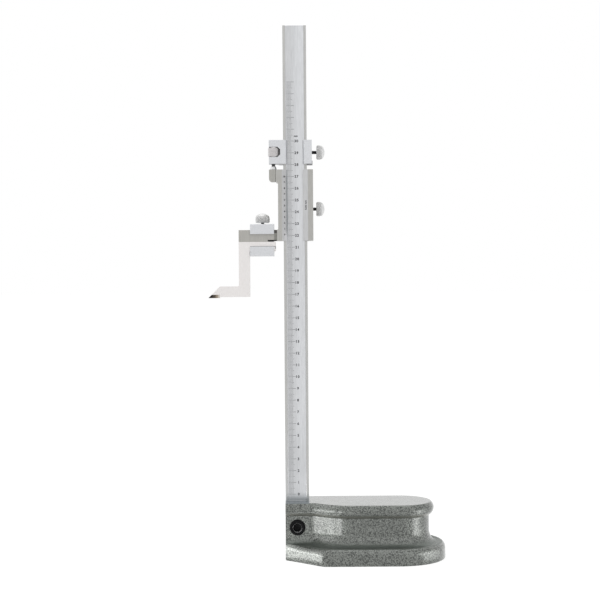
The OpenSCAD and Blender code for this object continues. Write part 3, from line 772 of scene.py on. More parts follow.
class Finishes:
    """Every finish of the gauge, each made into a material once."""

    PAINT = HammerPaint(patches=(
        # Land before the beam, in its shade
        Patch(Zone(x=(-FAR, 10.3), y=(-FAR, -4.3), z=(47.2, FAR), soft=0.3), (0.12, 0.15, 0.17), 0.45),
        # Crease under the flange, painted paler to lift its shade
        Patch(Zone(z=(36.6, 39.0), soft=0.4), (0.25, 0.255, 0.225), 0.5),
        # Top face, painted paler: a painted highlight for its bright grazing reflection
        Patch(Zone(x=(10.5, FAR), z=(48.2, FAR), soft=1.2), (0.55, 0.56, 0.54), 0.36)))
    BEAM = Steel("beam_steel", (0.50, 0.50, 0.49), 0.32, metallic=0.85, patches=(
        # Field between the rails
        Patch(Zone(x=(-7.8, 7.8), y=(-FAR, -4.0)), (0.66, 0.67, 0.688), 0.30),
        # Left half of the field, a little darker: painted shade
        Patch(Zone(x=(-FAR, 0.0), y=(-FAR, 0.0), soft=4.0), (0.585, 0.592, 0.605), 0.30),
        # Left rail, and the rougher left side
        Patch(Zone(x=(-FAR, -7.8)), (0.50, 0.50, 0.49), 0.32),
        Patch(Zone(x=(-FAR, -9.9), y=(-4.4, FAR)), (0.46, 0.46, 0.45), 0.62),
        # Lower end, a little darker: painted shade near the base
        Patch(Zone((-7.8, 60.0), (-6.0, 50.0), (-80.0, 85.0), 40.0), (0.53, 0.54, 0.552), 0.30),
        # Right rail and side
        Patch(Zone(x=(7.8, FAR)), (0.49, 0.49, 0.48), 0.32),
        # Foot of the field, where the base begins: painted shade and reflection of the base
        Patch(Zone((-7.8, 11.0), (-6.0, -4.0), (20.0, 50.0), 6.0), (0.27, 0.30, 0.31), 0.34)))
    SLIDER = Steel("ground_steel", (0.445, 0.44, 0.42), 0.34, metallic=0.85, patches=(
        # Bevels of both lips, and a painted highlight on the left one's foot
        Patch(Zone(x=(-11.2, 10.75), y=(-FAR, -4.0)), (0.56, 0.562, 0.568), 0.46),
        Patch(Zone((-9.0, -5.0), (-9.0, -4.0), (-FAR, 275.0), 2.5), (0.68, 0.68, 0.69), 0.46),
        # Arm; painted shade in the recess at its root, darker at its upper end; painted shadow line over the
        # scriber's seat
        Patch(Zone(x=(-FAR, -15.7), y=(-7.3, FAR), z=(-FAR, 290.0), soft=0.1), (0.435, 0.425, 0.40), 0.42),
        Patch(Zone((-18.3, -15.7), (-7.3, -4.2), (-FAR, 290.0), 0.1), (0.29, 0.285, 0.265), 0.42),
        Patch(Zone((-18.3, -15.7), (-7.3, -4.2), (275.3, 290.0), 0.3), (0.11, 0.105, 0.10), 0.42),
        Patch(Zone((-23.6, -15.9), (-7.3, 0.0), (268.4, 269.5)), (0.012, 0.012, 0.012), 0.6),
        # Lug, and a painted shadow line beside it
        Patch(Zone(x=(-FAR, -16.3), y=(-7.3, FAR), z=(316.0, FAR), soft=0.1), (0.40, 0.395, 0.37), 0.42),
        Patch(Zone((-16.7, -16.2), (-7.3, -5.0), (316.0, FAR), 0.1), (0.12, 0.12, 0.11), 0.42)))
    CHROME = Steel("satin_chrome", (0.655, 0.665, 0.685), 0.40, lines=(900.0, 900.0, 900.0), contrast=0.06,
                   metallic=0.85)
    CARRIAGE = replace(CHROME, name="satin_chrome_window", patches=(
        # Bevels of both lips, and painted shadow lines along their inner edges
        Patch(Zone(x=(-7.95, 7.95), y=(-FAR, -4.7)), (0.80, 0.81, 0.83), 0.6),
        Patch(Zone(x=(-7.05, 7.05), y=(-FAR, 0.0)), (0.36, 0.365, 0.37), 0.5),
        # Window's wall in painted shade: black corners, a paler middle and a paler left part
        Patch(Zone((-21.9, -12.2), (-7.35, 4.0), (339.4, 348.1), 0.05), (0.012, 0.012, 0.014), 0.6),
        Patch(Zone((-21.9, -12.2), (-7.35, 4.0), (341.2, 346.3), 0.4), (0.45, 0.45, 0.46), 0.5),
        Patch(Zone((-22.0, -15.2), (-7.0, 4.0), (339.7, 347.8), 0.05), (0.45, 0.45, 0.46), 0.5)))
    SCRIBER = Steel("scriber_steel", (0.79, 0.765, 0.755), 0.36, lines=(2200.0, 2200.0, 260.0),
                    contrast=0.05, metallic=0.9, patches=(
        # Painted shadow lines above the clamp's lower lip and at the heel
        Patch(Zone(x=(-38.6, -17.0), z=(263.7, 264.25)), (0.25, 0.25, 0.25), 0.5),
        Patch(Zone(x=(-17.2, -16.0), z=(261.9, 264.1), soft=0.1), (0.22, 0.22, 0.22), 0.5)))
    CARBIDE = Steel("carbide", (0.028, 0.025, 0.022), 0.30, lines=(400.0, 3000.0, 3000.0),
                    contrast=0.2, patches=(
        # Painted reflection, paler away from the point
        Patch(Zone(x=(-70.6, FAR), soft=0.9), (0.085, 0.070, 0.055), 0.35),
        Patch(Zone(x=(-68.2, FAR), soft=0.9), (0.28, 0.235, 0.185), 0.38),
        Patch(Zone(x=(-66.2, FAR), soft=0.9), (0.58, 0.54, 0.49), 0.40)))
    # Knurls, threads and the rod below: dirt with painted shade darkens their grooves
    NICKEL = Steel("nickel", (0.80, 0.78, 0.78), 0.40, lines=(600.0, 600.0, 600.0), contrast=0.08,
                   metallic=0.65, dirt_and_shade=0.35)
    HEADS = Steel("worn_nickel", (0.68, 0.68, 0.677), 0.24, lines=(600.0, 600.0, 600.0), contrast=0.12,
                  dirt_and_shade=0.55)
    COLLAR = Steel("turned_collar", (0.56, 0.56, 0.56), 0.30, lines=(200.0, 200.0, 6000.0))
    ROD = Steel("rod_steel", (0.20, 0.20, 0.205), 0.35, lines=(300.0, 300.0, 4000.0), dirt_and_shade=0.7)
    PIN = Steel("pin_steel", (0.40, 0.39, 0.37), 0.30, lines=(3000.0, 300.0, 3000.0))
    THREAD = Steel("dark_thread", (0.075, 0.075, 0.078), 0.34, lines=(900.0, 900.0, 900.0), dirt_and_shade=0.6)
    BLACK = Steel("black_screw", (0.006, 0.006, 0.007), 0.35, lines=(700.0, 700.0, 700.0), contrast=0.3,
                  metallic=0.0, specular=0.08, smudge=0.12)
    WORN = Steel("worn_socket_edge", (0.22, 0.22, 0.22), 0.18, lines=(700.0, 700.0, 700.0), contrast=0.3)
    # Painted shadow that the vernier's lip casts on the beam, laid on a thin strip of its own
    LIP_SHADOW = Steel("painted_lip_shadow", (0.235, 0.262, 0.275), 0.40, metallic=0.7, patches=(
        # Both ends paler, so the painted shadow fades out
        Patch(Zone(z=(326.0, FAR), soft=10.0), (0.36, 0.38, 0.39), 0.40),
        Patch(Zone(z=(-FAR, 275.0), soft=8.0), (0.50, 0.515, 0.53), 0.40)))
    SPRING = Steel("spring_steel", (0.30, 0.30, 0.305), 0.32, lines=(2500.0, 400.0, 400.0))
    INK = Ink("scale_ink", (0.030, 0.032, 0.036), (0.08, 0.08, 0.085))
    made: dict[str, bpy.types.Material] = {}

    @classmethod
    def get(cls, finish: Finish) -> bpy.types.Material:
        """The material of a finish, made at its first use.

        Args:
            finish: the finish.

        Returns:
            Its material.
        """
        if finish.name not in cls.made:
            cls.made[finish.name] = finish.material()
        return cls.made[finish.name]


def settle(obj: bpy.types.Object, finish: Finish, body: str, nodes: Iterable[str] = ()) -> None:
    """Gives a finished object its material and sets what it moves with.

    Args:
        obj: the object.
        finish: one of Finishes.
        body: body that it rides on.
        nodes: solids that it stands for.
    """
    obj.data.materials.clear()
    obj.data.materials.append(Finishes.get(finish))
    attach(obj, body)
    if nodes:
        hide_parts(*nodes)
    LOG.info("%s: %d faces, rides on %s", obj.name, len(obj.data.polygons), body)


def add_piece(surface: Surface, name: str, finish: Finish, body: str, nodes: Iterable[str] = (),
              sharp: float = SHARP) -> None:
    """Builds a new piece and settles it, with the edges above sharp degrees kept sharp."""
    settle(surface.build(name, sharp), finish, body, nodes)


def dress_node(node: str, finish: Finish, edge: float) -> None:
    """Gives a carried-over solid its material and lightly broken edges.

    Args:
        node: the solid's name.
        finish: one of Finishes.
        edge: width of the broken edges in millimetres.
    """
    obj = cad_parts[node]
    obj.data.materials.clear()
    obj.data.materials.append(Finishes.get(finish))
    weld = obj.modifiers.new("weld", "WELD")
    weld.merge_threshold = 0.001 * MM
    bevel = obj.modifiers.new("broken_edges", "BEVEL")
    bevel.width, bevel.segments = edge * MM, 2
    bevel.limit_method, bevel.angle_limit = "ANGLE", math.radians(30)
    bevel.use_clamp_overlap = True
    normals = obj.modifiers.new("flat_faces", "WEIGHTED_NORMAL")
    normals.keep_sharp = False
    LOG.info("%s: solid dressed in %s", node, finish.name)


# Sub-assemblies


class Flare(Enum):
    """How a plan outline of the base widens from its narrow end."""

    BULGING = "bulging"
    STRAIGHT = "straight"


def rings(outer: np.ndarray, inner: np.ndarray, levels: np.ndarray) -> np.ndarray:
    """Rings between two plan outlines: a point is outer + share (inner - outer), at a height.

    Args:
        outer: (points, 2) outline at share 0.
        inner: (points, 2) outline at share 1.
        levels: (levels, 2) shares and heights.

    Returns:
        Grid of shape (levels, points, 3).
    """
    xy = outer[None] + (inner - outer)[None] * levels[:, :1, None]
    z = np.broadcast_to(levels[:, 1, None, None], (*xy.shape[:2], 1))
    return np.concatenate([xy, z], -1)


def corners(x: Span, y: Span) -> np.ndarray:
    """The four corners of an upright box's plan, of shape (4, 2)."""
    return np.array([[x[0], y[0]], [x[1], y[0]], [x[1], y[1]], [x[0], y[1]]], float)


@dataclass
class CastBase:
    """Waisted base casting: a foot with a bead, a coved waist and a rounded flange."""

    left: float = -10.0
    spare: float = 2.0
    shift: float = 6.0
    foot_half: float = 41.0
    foot_reach: float = 125.2
    flange_half: float = 28.0
    flange_reach: float = 115.6
    nose: float = 19.5
    nose_back: float = 22.0
    chamfer: float = 30.6
    flare: Span = (15.0, 45.0)
    back_run: float = 13.0
    inset: float = 4.0
    height: float = 47.6
    rim: float = 8.5
    bead: float = 5.5
    bead_share: float = 0.32
    crease: float = 0.6
    cove_share: float = 0.58
    cove_top: float = 24.0
    flange_r: float = 6.5
    flange_drop: float = 5.2
    top_r: float = 0.4
    sole_edge: float = 0.8
    corner: float = 0.05
    # Painted shade with some dirt in the creases: reach above each, most, ring under the waist's top, start
    dirt_and_shade_reach: Span = (5.0, 3.2)
    dirt_and_shade_most: Span = (1.0, 0.15)
    dirt_and_shade_below: float = 0.6
    dirt_and_shade_edge: float = 0.02
    sole_rings: Span = (6.0, 2.0)
    top_rings: Span = (0.15, 1.0)
    slot_right: float = 10.02
    slot_half: float = 4.52
    slot_floor: float = 6.0
    screw_z: float = 26.9
    counterbore_r: float = 6.65
    counterbore_floor: float = -8.0
    hole_r: float = 4.4
    hole_end: float = 7.4
    relief_x: Span = (48.0, 84.2)
    relief_r: float = 24.0
    relief_depth: float = 2.0
    tool_left: float = -20.0
    tool_side: float = 80.0
    tool_front: float = -60.0
    tool_z: Span = (-5.0, 60.0)

    @property
    def crease_z(self) -> float:
        """Height of the crease where the cove meets the bead."""
        return self.rim + self.bead - self.crease

    @property
    def flange_start(self) -> float:
        """Angle at which the flange's arc leaves the waist, in degrees from level."""
        return -math.degrees(math.acos(1 - self.inset / self.flange_r))

    @property
    def waist_top(self) -> float:
        """Height at which the waist meets the flange."""
        return self.height - self.flange_drop + self.flange_r * math.sin(math.radians(self.flange_start))

    def plan(self, left: float, half: float, reach: float, nose: float, back: float, flare: Span,
             kind: Flare) -> np.ndarray:
        """Plan outline at one level, from the left end's front corner round by the right end.

        With t from 0 to 1 over the flare, the front goes from nose to half by t (2 - t), its start softened,
        or straight, its end softened; then come a straight run, a half circle, a slanted back corner and the
        left end.

        Args:
            left: where the left end lies.
            half: half the width, front to back.
            reach: right end.
            nose: front of the narrow end.
            back: back of the narrow end.
            flare: start and end of the front's flare.
            kind: bulging flare, or straight.

        Returns:
            (n, 2) points.
        """
        middle = reach - half
        x = np.concatenate([np.linspace(self.left, flare[1], 44)[:-1],
                            flare[1] + (middle - flare[1]) * np.linspace(0, 1, 16)[:-1] ** 1.6])
        t = (x - flare[0]) / (flare[1] - flare[0])
        if kind is Flare.BULGING:
            t = np.minimum((t + np.sqrt(t ** 2 + self.corner ** 2)) / 2, 1)
            t = t * (2 - t)
        else:
            t = (t + 1 - np.sqrt((t - 1) ** 2 + self.corner ** 2)) / 2
        front = np.stack([x, -(nose + (half + self.shift - nose) * t)], -1)
        a = fillet(97, -90, 90)
        arc = np.stack([middle + half * np.cos(a), half * np.sin(a) - self.shift], -1)
        s = np.linspace(0, 1, 13)
        rear = np.stack([self.left + self.back_run * (1 - s),
                         half - self.shift + (back - half + self.shift) * s], -1)
        return np.concatenate([[[left, -nose]], front, arc, rear, [[left, back]]])

    def outlines(self) -> tuple[np.ndarray, np.ndarray, np.ndarray]:
        """Plan outlines of the foot, the waist and the flange, a little too long at the left.

        Returns:
            Three arrays of shape (points, 2).
        """
        foot = self.plan(self.left - self.spare, self.foot_half, self.foot_reach, self.nose, self.nose_back,
                         (self.left, self.left + self.chamfer), Flare.STRAIGHT)
        waist = self.plan(self.left - self.spare / 2, self.flange_half - self.inset,
                          self.flange_reach - self.inset, self.nose - self.inset, self.nose_back - self.inset,
                          self.flare, Flare.BULGING)
        flange = self.plan(self.left - self.spare, self.flange_half, self.flange_reach, self.nose,
                           self.nose_back, self.flare, Flare.BULGING)
        return foot, waist, flange

    def lower(self) -> np.ndarray:
        """Levels from the sole to the waist.

        The sole's edge is a quarter circle, the rim upright, the bead a quarter ellipse, and the cove a
        quarter ellipse the other way, which starts a little below the bead's top.

        Returns:
            (levels, 2) shares of the way from the foot's outline to the waist's, and heights.
        """
        run = self.foot_half - self.flange_half + self.inset
        a = fillet(5, 0, 90)
        edge = np.stack([self.sole_edge * (1 - np.sin(a)) / run, self.sole_edge * (1 - np.cos(a))], -1)
        flat = [[ring * edge[0, 0], 0.0] for ring in self.sole_rings]
        a = fillet(13, 0, 90)
        bead = np.stack([self.bead_share * (1 - np.cos(a)), self.rim + self.bead * np.sin(a)], -1)
        a = fillet(17, 0, 90)
        cove = np.stack([1 - self.cove_share * (1 - np.sin(a)),
                         self.crease_z + (self.cove_top - self.crease_z) * (1 - np.cos(a))], -1)
        return np.concatenate([flat, edge, bead, cove, [[1.0, self.waist_top - self.dirt_and_shade_below]]])

    def upper(self) -> np.ndarray:
        """Levels from the waist to the top.

        The flange is an arc that swells out of the waist and passes into a small arc, which ends on the top.

        Returns:
            (levels, 2) shares of the way from the waist's outline to the flange's, and heights.
        """
        mid = self.height - self.flange_drop
        turn = self.flange_r - self.top_r
        stop = math.asin((self.flange_drop - self.top_r) / turn)
        a = fillet(22, self.flange_start, math.degrees(stop))
        side = np.stack([1 - self.flange_r * (1 - np.cos(a)) / self.inset,
                         mid + self.flange_r * np.sin(a)], -1)
        a = fillet(6, math.degrees(stop), 90)[1:]
        top = np.stack([1 - (self.flange_r - turn * math.cos(stop) - self.top_r * np.cos(a)) / self.inset,
                        mid + turn * math.sin(stop) + self.top_r * np.sin(a)], -1)
        flat = [[top[-1, 0] - ring, self.height] for ring in self.top_rings]
        return np.concatenate([side, top, flat])

    def skin(self) -> tuple[np.ndarray, np.ndarray]:
        """Rings of the casting from the sole to the top, each a mix of two outlines.

        Painted shade lies in the creases under the cove and below the flange, thinning with the height above
        each.

        Returns:
            Grid of shape (levels, points, 3), and its shares of painted shade, of shape (levels, points).
        """
        foot, waist, flange = self.outlines()
        lower, upper = self.lower(), self.upper()
        grid = np.concatenate([rings(foot, waist, lower), rings(waist, flange, upper)])
        above = np.concatenate([(lower[:, 1] - self.crease_z) / self.dirt_and_shade_reach[0],
                                (upper[:, 1] - self.waist_top) / self.dirt_and_shade_reach[1]])
        most = np.where(np.arange(len(above)) < len(lower), *self.dirt_and_shade_most)
        dirt_and_shade = np.where(above > -self.dirt_and_shade_edge, np.clip(1 - above, 0, most), 0)
        return grid, np.broadcast_to(dirt_and_shade[:, None], grid.shape[:2])

    def prism(self, outline: np.ndarray, low: float, high: float, name: str) -> bpy.types.Object:
        """Upright prism on a plan outline, as a cutting tool.

        Args:
            outline: (n, 2) points.
            low: its lower end.
            high: its upper end.
            name: object name.

        Returns:
            The tool.
        """
        middle = np.broadcast_to(outline.mean(0), outline.shape)
        levels = np.array([[1.0, low], [0.0, low], [0.0, high], [1.0, high]])
        tool = Surface()
        tool.grid(rings(outline, middle, levels))
        return tool.build(name)

    def bore(self, radius: float, end: float, name: str) -> bpy.types.Object:
        """Round hole along +Y on the clamp screw's axis, from before the base to end, as a cutting tool."""
        turning = Turning(96).add([0, radius, radius, 0], [self.tool_front, self.tool_front, end, end])
        return turning.surface(Axis.BACK, (0, 0, self.screw_z)).build(name)

    def tools(self) -> list[bpy.types.Object]:
        """What is cut away: the spare left end, the beam's slot, the screw's hole and the sole's relief.

        Returns:
            The cutting tools.
        """
        low, high = self.tool_z
        side = (-self.tool_side, self.tool_side)
        slot = corners((self.left - self.spare, self.slot_right), (-self.slot_half, self.slot_half))
        angle = np.arange(180) * TURN / 180
        relief = np.stack([np.where(np.cos(angle) > 0, *self.relief_x[::-1]) + self.relief_r * np.cos(angle),
                           self.relief_r * np.sin(angle) - self.shift], -1)
        return [
            self.prism(corners((self.tool_left, self.left), side), low, high, "left_trim"),
            self.prism(slot, self.slot_floor, high, "beam_slot"),
            self.bore(self.counterbore_r, self.counterbore_floor, "counterbore"),
            self.bore(self.hole_r, self.hole_end, "screw_hole"),
            self.prism(relief, low, self.relief_depth, "sole_relief"),
        ]

    def build(self) -> None:
        """Skins the casting, closes its ends, cuts its openings and paints it."""
        grid, dirt_and_shade = self.skin()
        surface = Surface()
        surface.grid(grid, True, dirt_and_shade)
        for ring in (grid[0], grid[-1]):
            surface.grid(np.stack([ring, np.broadcast_to(ring.mean(0), ring.shape)]))
        casting = surface.build("base_casting")
        cut(casting, self.tools())
        settle(casting, Finishes.PAINT, "stand", ["base"])


@dataclass
class CapScrew:
    """Socket cap screw that clamps the beam, drawn along its axis from the front of its head."""

    origin: Point = (0.0, -17.6, 26.9)
    head_r: float = 6.5
    head_h: float = 8.0
    rounding: float = 0.9
    ribs: int = 72
    rib_depth: float = 0.1
    flats: float = 6.0
    socket: float = 4.0
    drill_point: float = 1.2
    floor_share: float = 0.98
    floor_edge: float = 0.2
    sink_r: float = 3.0
    sink_h: float = 0.75
    lip_r: Span = (3.75, 3.95)
    lip_h: float = 0.06
    face_edge: float = 1.0
    rib_start: Span = (1.2, 1.5)
    rib_end: float = 0.6
    under_edge: float = 0.3
    neck: float = 0.1
    thread_r: float = 4.0
    thread_depth: float = 0.55
    length: float = 16.0
    pitch: float = 1.25
    thread_ends: Span = (0.05, 0.8)
    point: float = 0.7
    columns: int = 144
    worn_r: tuple[float, ...] = (3.30, 3.74, 3.86, 3.42, 3.30)
    worn_h: tuple[float, ...] = (0.50, 0.02, 0.05, 0.55, 0.50)
    washer_edge: float = 0.1

    def hexagon(self) -> np.ndarray:
        """Radius of the hexagon socket round the axis: half the flats over the cosine to the nearest flat."""
        angle = np.arange(self.columns) * TURN / self.columns
        return self.flats / 2 / np.cos((angle + TURN / 12) % (TURN / 6) - TURN / 12)

    def screw(self) -> Surface:
        """Socket, countersink, rounded rim, finely ribbed side and thread as one closed profile.

        Returns:
            The surface.
        """
        six = self.hexagon()[None]
        end = self.head_h + self.length
        s = np.array([0.0, 0.5, 1.0])
        a = fillet(7, 0, 90)
        ribs = self.rib_depth * wave(np.arange(self.columns) * self.ribs / self.columns)
        turns = np.arange(self.head_h + self.thread_ends[0], end - self.thread_ends[1], self.pitch / 8)
        turning = Turning(self.columns)
        turning.add(0.0, self.socket + self.drill_point).add(six * self.floor_share, self.socket)
        turning.add(six, [self.socket - self.floor_edge, self.sink_h])
        turning.add(np.maximum(six, self.sink_r + s[:, None] / 2), self.sink_h - s / 2)
        turning.add([*self.lip_r, self.head_r - self.face_edge], [self.lip_h, 0.0, 0.0])
        turning.add(self.head_r - self.rounding * (1 - np.sin(a)), self.rounding * (1 - np.cos(a)))
        turning.add(self.head_r, self.rib_start[0])
        turning.add(self.head_r - ribs[None], [self.rib_start[1], self.head_h - self.rib_end])
        turning.add([self.head_r, self.head_r - self.under_edge, self.thread_r + self.neck],
                    [self.head_h - self.under_edge, self.head_h, self.head_h])
        turning.add(self.thread_r - self.thread_depth * thread(turns, self.columns, self.pitch), turns)
        turning.add([self.thread_r - self.point, 0.0], [end, end])
        return turning.surface(Axis.BACK, self.origin)

    def worn_edge(self) -> Surface:
        """Thin band that lies on the countersink, as a closed ring of four-sided section."""
        return Turning(96).add(self.worn_r, self.worn_h).surface(Axis.BACK, self.origin)

    def build(self) -> None:
        """Makes the screw and its worn edge, and dresses the washer under its head."""
        add_piece(self.screw(), "clamp_cap_screw", Finishes.BLACK, "stand",
                  ["beam_clamp_screw"])
        add_piece(self.worn_edge(), "socket_worn_edge", Finishes.WORN, "stand")
        dress_node("beam_screw_washer", Finishes.BLACK, self.washer_edge)


@dataclass
class Beam:
    """Graduated beam: the solid with its field, and a centimetre scale with millimetre lines."""

    zero: float = 53.2
    last_line: int = 350
    last_number: int = 30
    lines_left: float = -7.1
    field_y: float = -4.2
    widths: tuple[float, float, float] = (0.16, 0.20, 0.25)
    lengths: tuple[float, float, float] = (4.1, 5.0, 6.4)
    number_u: float = 1.2
    numerals: Lettering = Lettering(2.1, 0.055, 1.2)
    unit: Lettering = Lettering(1.5, 0.06)
    unit_move: Span = (-0.4, 4.0)
    edge: float = 0.2

    def build(self) -> None:
        """Dresses the beam and fills its scale: lines for ones, fives and tens, and a number at each ten."""
        dress_node("beam", Finishes.BEAM, self.edge)
        face = Placement((0.0, self.field_y, self.zero), (1, 0, 0), (0, 0, 1))
        number = np.arange(self.last_line + 1)
        rank = (number % 5 == 0).astype(int) + (number % 10 == 0)
        lines = scale_lines(face, self.lines_left, self.lines_left + np.array(self.lengths)[rank], number,
                            np.array(self.widths)[rank])
        add_piece(lines, "beam_scale_lines", Finishes.INK, "stand")
        numbers = Surface()
        for i in range(self.last_number + 1):
            self.numerals.write(numbers, face, str(i), self.number_u, 10.0 * i)
        u, v = self.unit_move
        self.unit.write(numbers, face, "mm", self.number_u + u, 10.0 * self.last_number + v)
        add_piece(numbers, "beam_scale_numbers", Finishes.INK, "stand")


@dataclass
class Slider:
    """Vernier slider: the solid, its gib, and fifty vernier lines over forty-nine millimetres."""

    zero: float = 273.95
    divisions: int = 50
    step: float = 0.98
    line_w: float = 0.2
    lengths: Span = (1.0, 1.5)
    line_gap: float = 0.12
    inner: Span = (-7.3, -4.9)
    outer: Span = (-11.1, -7.6)
    number_u: float = -2.3
    numerals: Lettering = Lettering(1.4, 0.085)
    reading: Lettering = Lettering(1.6, 0.05)
    reading_at: Point = (8.9, -6.25, 298.8)
    reading_up: Point = (-5.0, 2.7, 0)
    span: Span = (268.8, 328.8)
    edge_right: float = -6.65
    edge_n: Span = (4.58, 4.9)
    edge: float = 0.2
    gib_edge: float = 0.1

    def scale(self) -> Surface:
        """Vernier lines and numbers on the left lip's bevel, and the reading on the right lip's.

        Returns:
            The marks.
        """
        slope = (self.inner[0] - self.outer[0], self.inner[1] - self.outer[1], 0)
        face = Placement((*self.inner, self.zero), slope, (0, 0, 1))
        number = np.arange(self.divisions + 1)
        reach = np.where(number % 5 == 0, self.lengths[1], self.lengths[0])
        marks = scale_lines(face, -reach, -self.line_gap, number * self.step, self.line_w)
        for i in range(self.divisions // 5 + 1):
            self.numerals.write(marks, face, str(i), self.number_u, 5 * i * self.step)
        right = Placement(self.reading_at, (0, 0, 1), self.reading_up)
        self.reading.write(marks, right, "0.02 mm", 0.0, 0.0)
        return marks

    def lip_shadow_strip(self) -> Surface:
        """Thin strip along the inner edge of the vernier's lip, as one block, that carries the lip's painted
        shadow.

        Returns:
            The strip.
        """
        strip = Surface()
        strip.blocks(np.array([[self.inner[0], self.span[0], self.edge_n[0]]]),
                     np.array([[self.edge_right, self.span[1], self.edge_n[1]]]),
                     Placement((0, 0, 0), (1, 0, 0), (0, 0, 1)))
        return strip

    def build(self) -> None:
        """Dresses the slider and its gib, fills the vernier and adds the strip with the lip's painted shadow.
        """
        dress_node("slider", Finishes.SLIDER, self.edge)
        dress_node("slider_gib", Finishes.SPRING, self.gib_edge)
        add_piece(self.scale(), "vernier_marks", Finishes.INK, "head")
        # Painted shadow of the lip on the beam, as a thin dark strip
        add_piece(self.lip_shadow_strip(), "vernier_lip_shadow_strip", Finishes.LIP_SHADOW, "head")


@dataclass
class FineAdjustment:
    """Carriage with its window, knurled nut, threaded rod with its collar, pin and spring gib."""

    axis: Span = (-18.3, -3.8)
    nut_mid: float = 343.75
    nut_r: float = 4.65
    nut_h: float = 8.3
    nut_chamfer: float = 0.9
    nut_columns: int = 240
    nut_clear: float = 0.05
    bore_chamfer: float = 0.3
    band_edge: float = 0.15
    knurl_starts: int = 30
    knurl_pitch: float = 0.9
    knurl_depth: float = 0.32
    rod_r: float = 2.0
    rod_pitch: float = 0.7
    rod_depth: float = 0.42
    rod_flat: float = 0.1
    rod_point: float = 0.5
    rod_low: float = 318.6
    rod_top: float = 349.4
    rod_columns: int = 48
    relief_r: float = 1.45
    relief_h: float = 1.9
    relief_start: float = 0.1
    relief_end: float = 0.3
    collar_low: float = 328.9
    collar_h: float = 2.8
    collar_r: float = 2.8
    collar_edge: float = 0.2
    collar_taper: float = 0.05
    edge: float = 0.2
    gib_edge: float = 0.1
    pin_edge: float = 0.08

    def nut(self) -> Surface:
        """Nut as a closed ring of revolution whose outer band carries a crossed knurl.

        The knurl and the band's full radius fade out linearly over the chamfer at both ends.

        Returns:
            The surface.
        """
        band = np.linspace(self.band_edge, self.nut_h - self.band_edge, 64)
        fade = np.clip(np.minimum(band, self.nut_h - band) / self.nut_chamfer, 0, 1)[:, None]
        share = knurl(band, self.nut_columns, self.knurl_starts, self.knurl_pitch) * fade
        hole, c = self.rod_r + self.nut_clear, self.bore_chamfer
        turning = Turning(self.nut_columns).add([hole, hole + c], [c, 0.0])
        turning.add(self.nut_r - self.nut_chamfer * (1 - fade) - self.knurl_depth * share, band, share)
        turning.add([hole + c, hole, hole], [self.nut_h, self.nut_h - c, c])
        return turning.surface(Axis.UP, (*self.axis, self.nut_mid - self.nut_h / 2))

    def rod(self) -> Surface:
        """Rod: plain in the lug, a dark relief above its collar, then a thread.

        Returns:
            The surface.
        """
        plain_top = self.collar_low + self.collar_h - self.relief_start
        start = self.collar_low + self.collar_h + self.relief_h
        turns = np.arange(start, self.rod_top - self.rod_point, self.rod_pitch / 10)
        share = thread(turns, self.rod_columns, self.rod_pitch, self.rod_flat)
        turning = Turning(self.rod_columns)
        turning.add([0.0, self.rod_r, self.rod_r], [self.rod_low, self.rod_low, plain_top])
        # The relief counts as a groove's bottom, so dirt with painted shade darkens it fully
        turning.add(self.relief_r, [plain_top, start - self.relief_end], 1.0)
        turning.add(self.rod_r - self.rod_depth * share, turns, share)
        turning.add([self.rod_r - self.rod_point, 0.0], [self.rod_top, self.rod_top])
        return turning.surface(Axis.UP, (*self.axis, 0.0))

    def collar(self) -> Surface:
        """Collar as a turned cone with broken edges.

        Returns:
            The surface.
        """
        wide, thin, c, taper = self.collar_r, self.rod_r, self.collar_edge, self.collar_taper
        low, high = self.collar_low, self.collar_low + self.collar_h
        turning = Turning(96).add([0, wide - c, wide, wide - taper, thin + taper, thin - c, 0],
                                  [low, low, low + c, low + 2 * c, high - c, high, high])
        return turning.surface(Axis.UP, (*self.axis, 0.0))

    def build(self) -> None:
        """Dresses the carriage, gib and pin, and makes the nut, rod and collar."""
        dress_node("fine_adjust_carriage", Finishes.CARRIAGE, self.edge)
        dress_node("carriage_gib", Finishes.SPRING, self.gib_edge)
        dress_node("rod_pin", Finishes.PIN, self.pin_edge)
        add_piece(self.nut(), "knurled_nut", Finishes.NICKEL, "fine_nut", ["fine_adjust_nut"])
        add_piece(self.rod(), "adjusting_rod", Finishes.ROD, "head", ["fine_adjust_rod"])
        add_piece(self.collar(), "rod_collar", Finishes.COLLAR, "head")


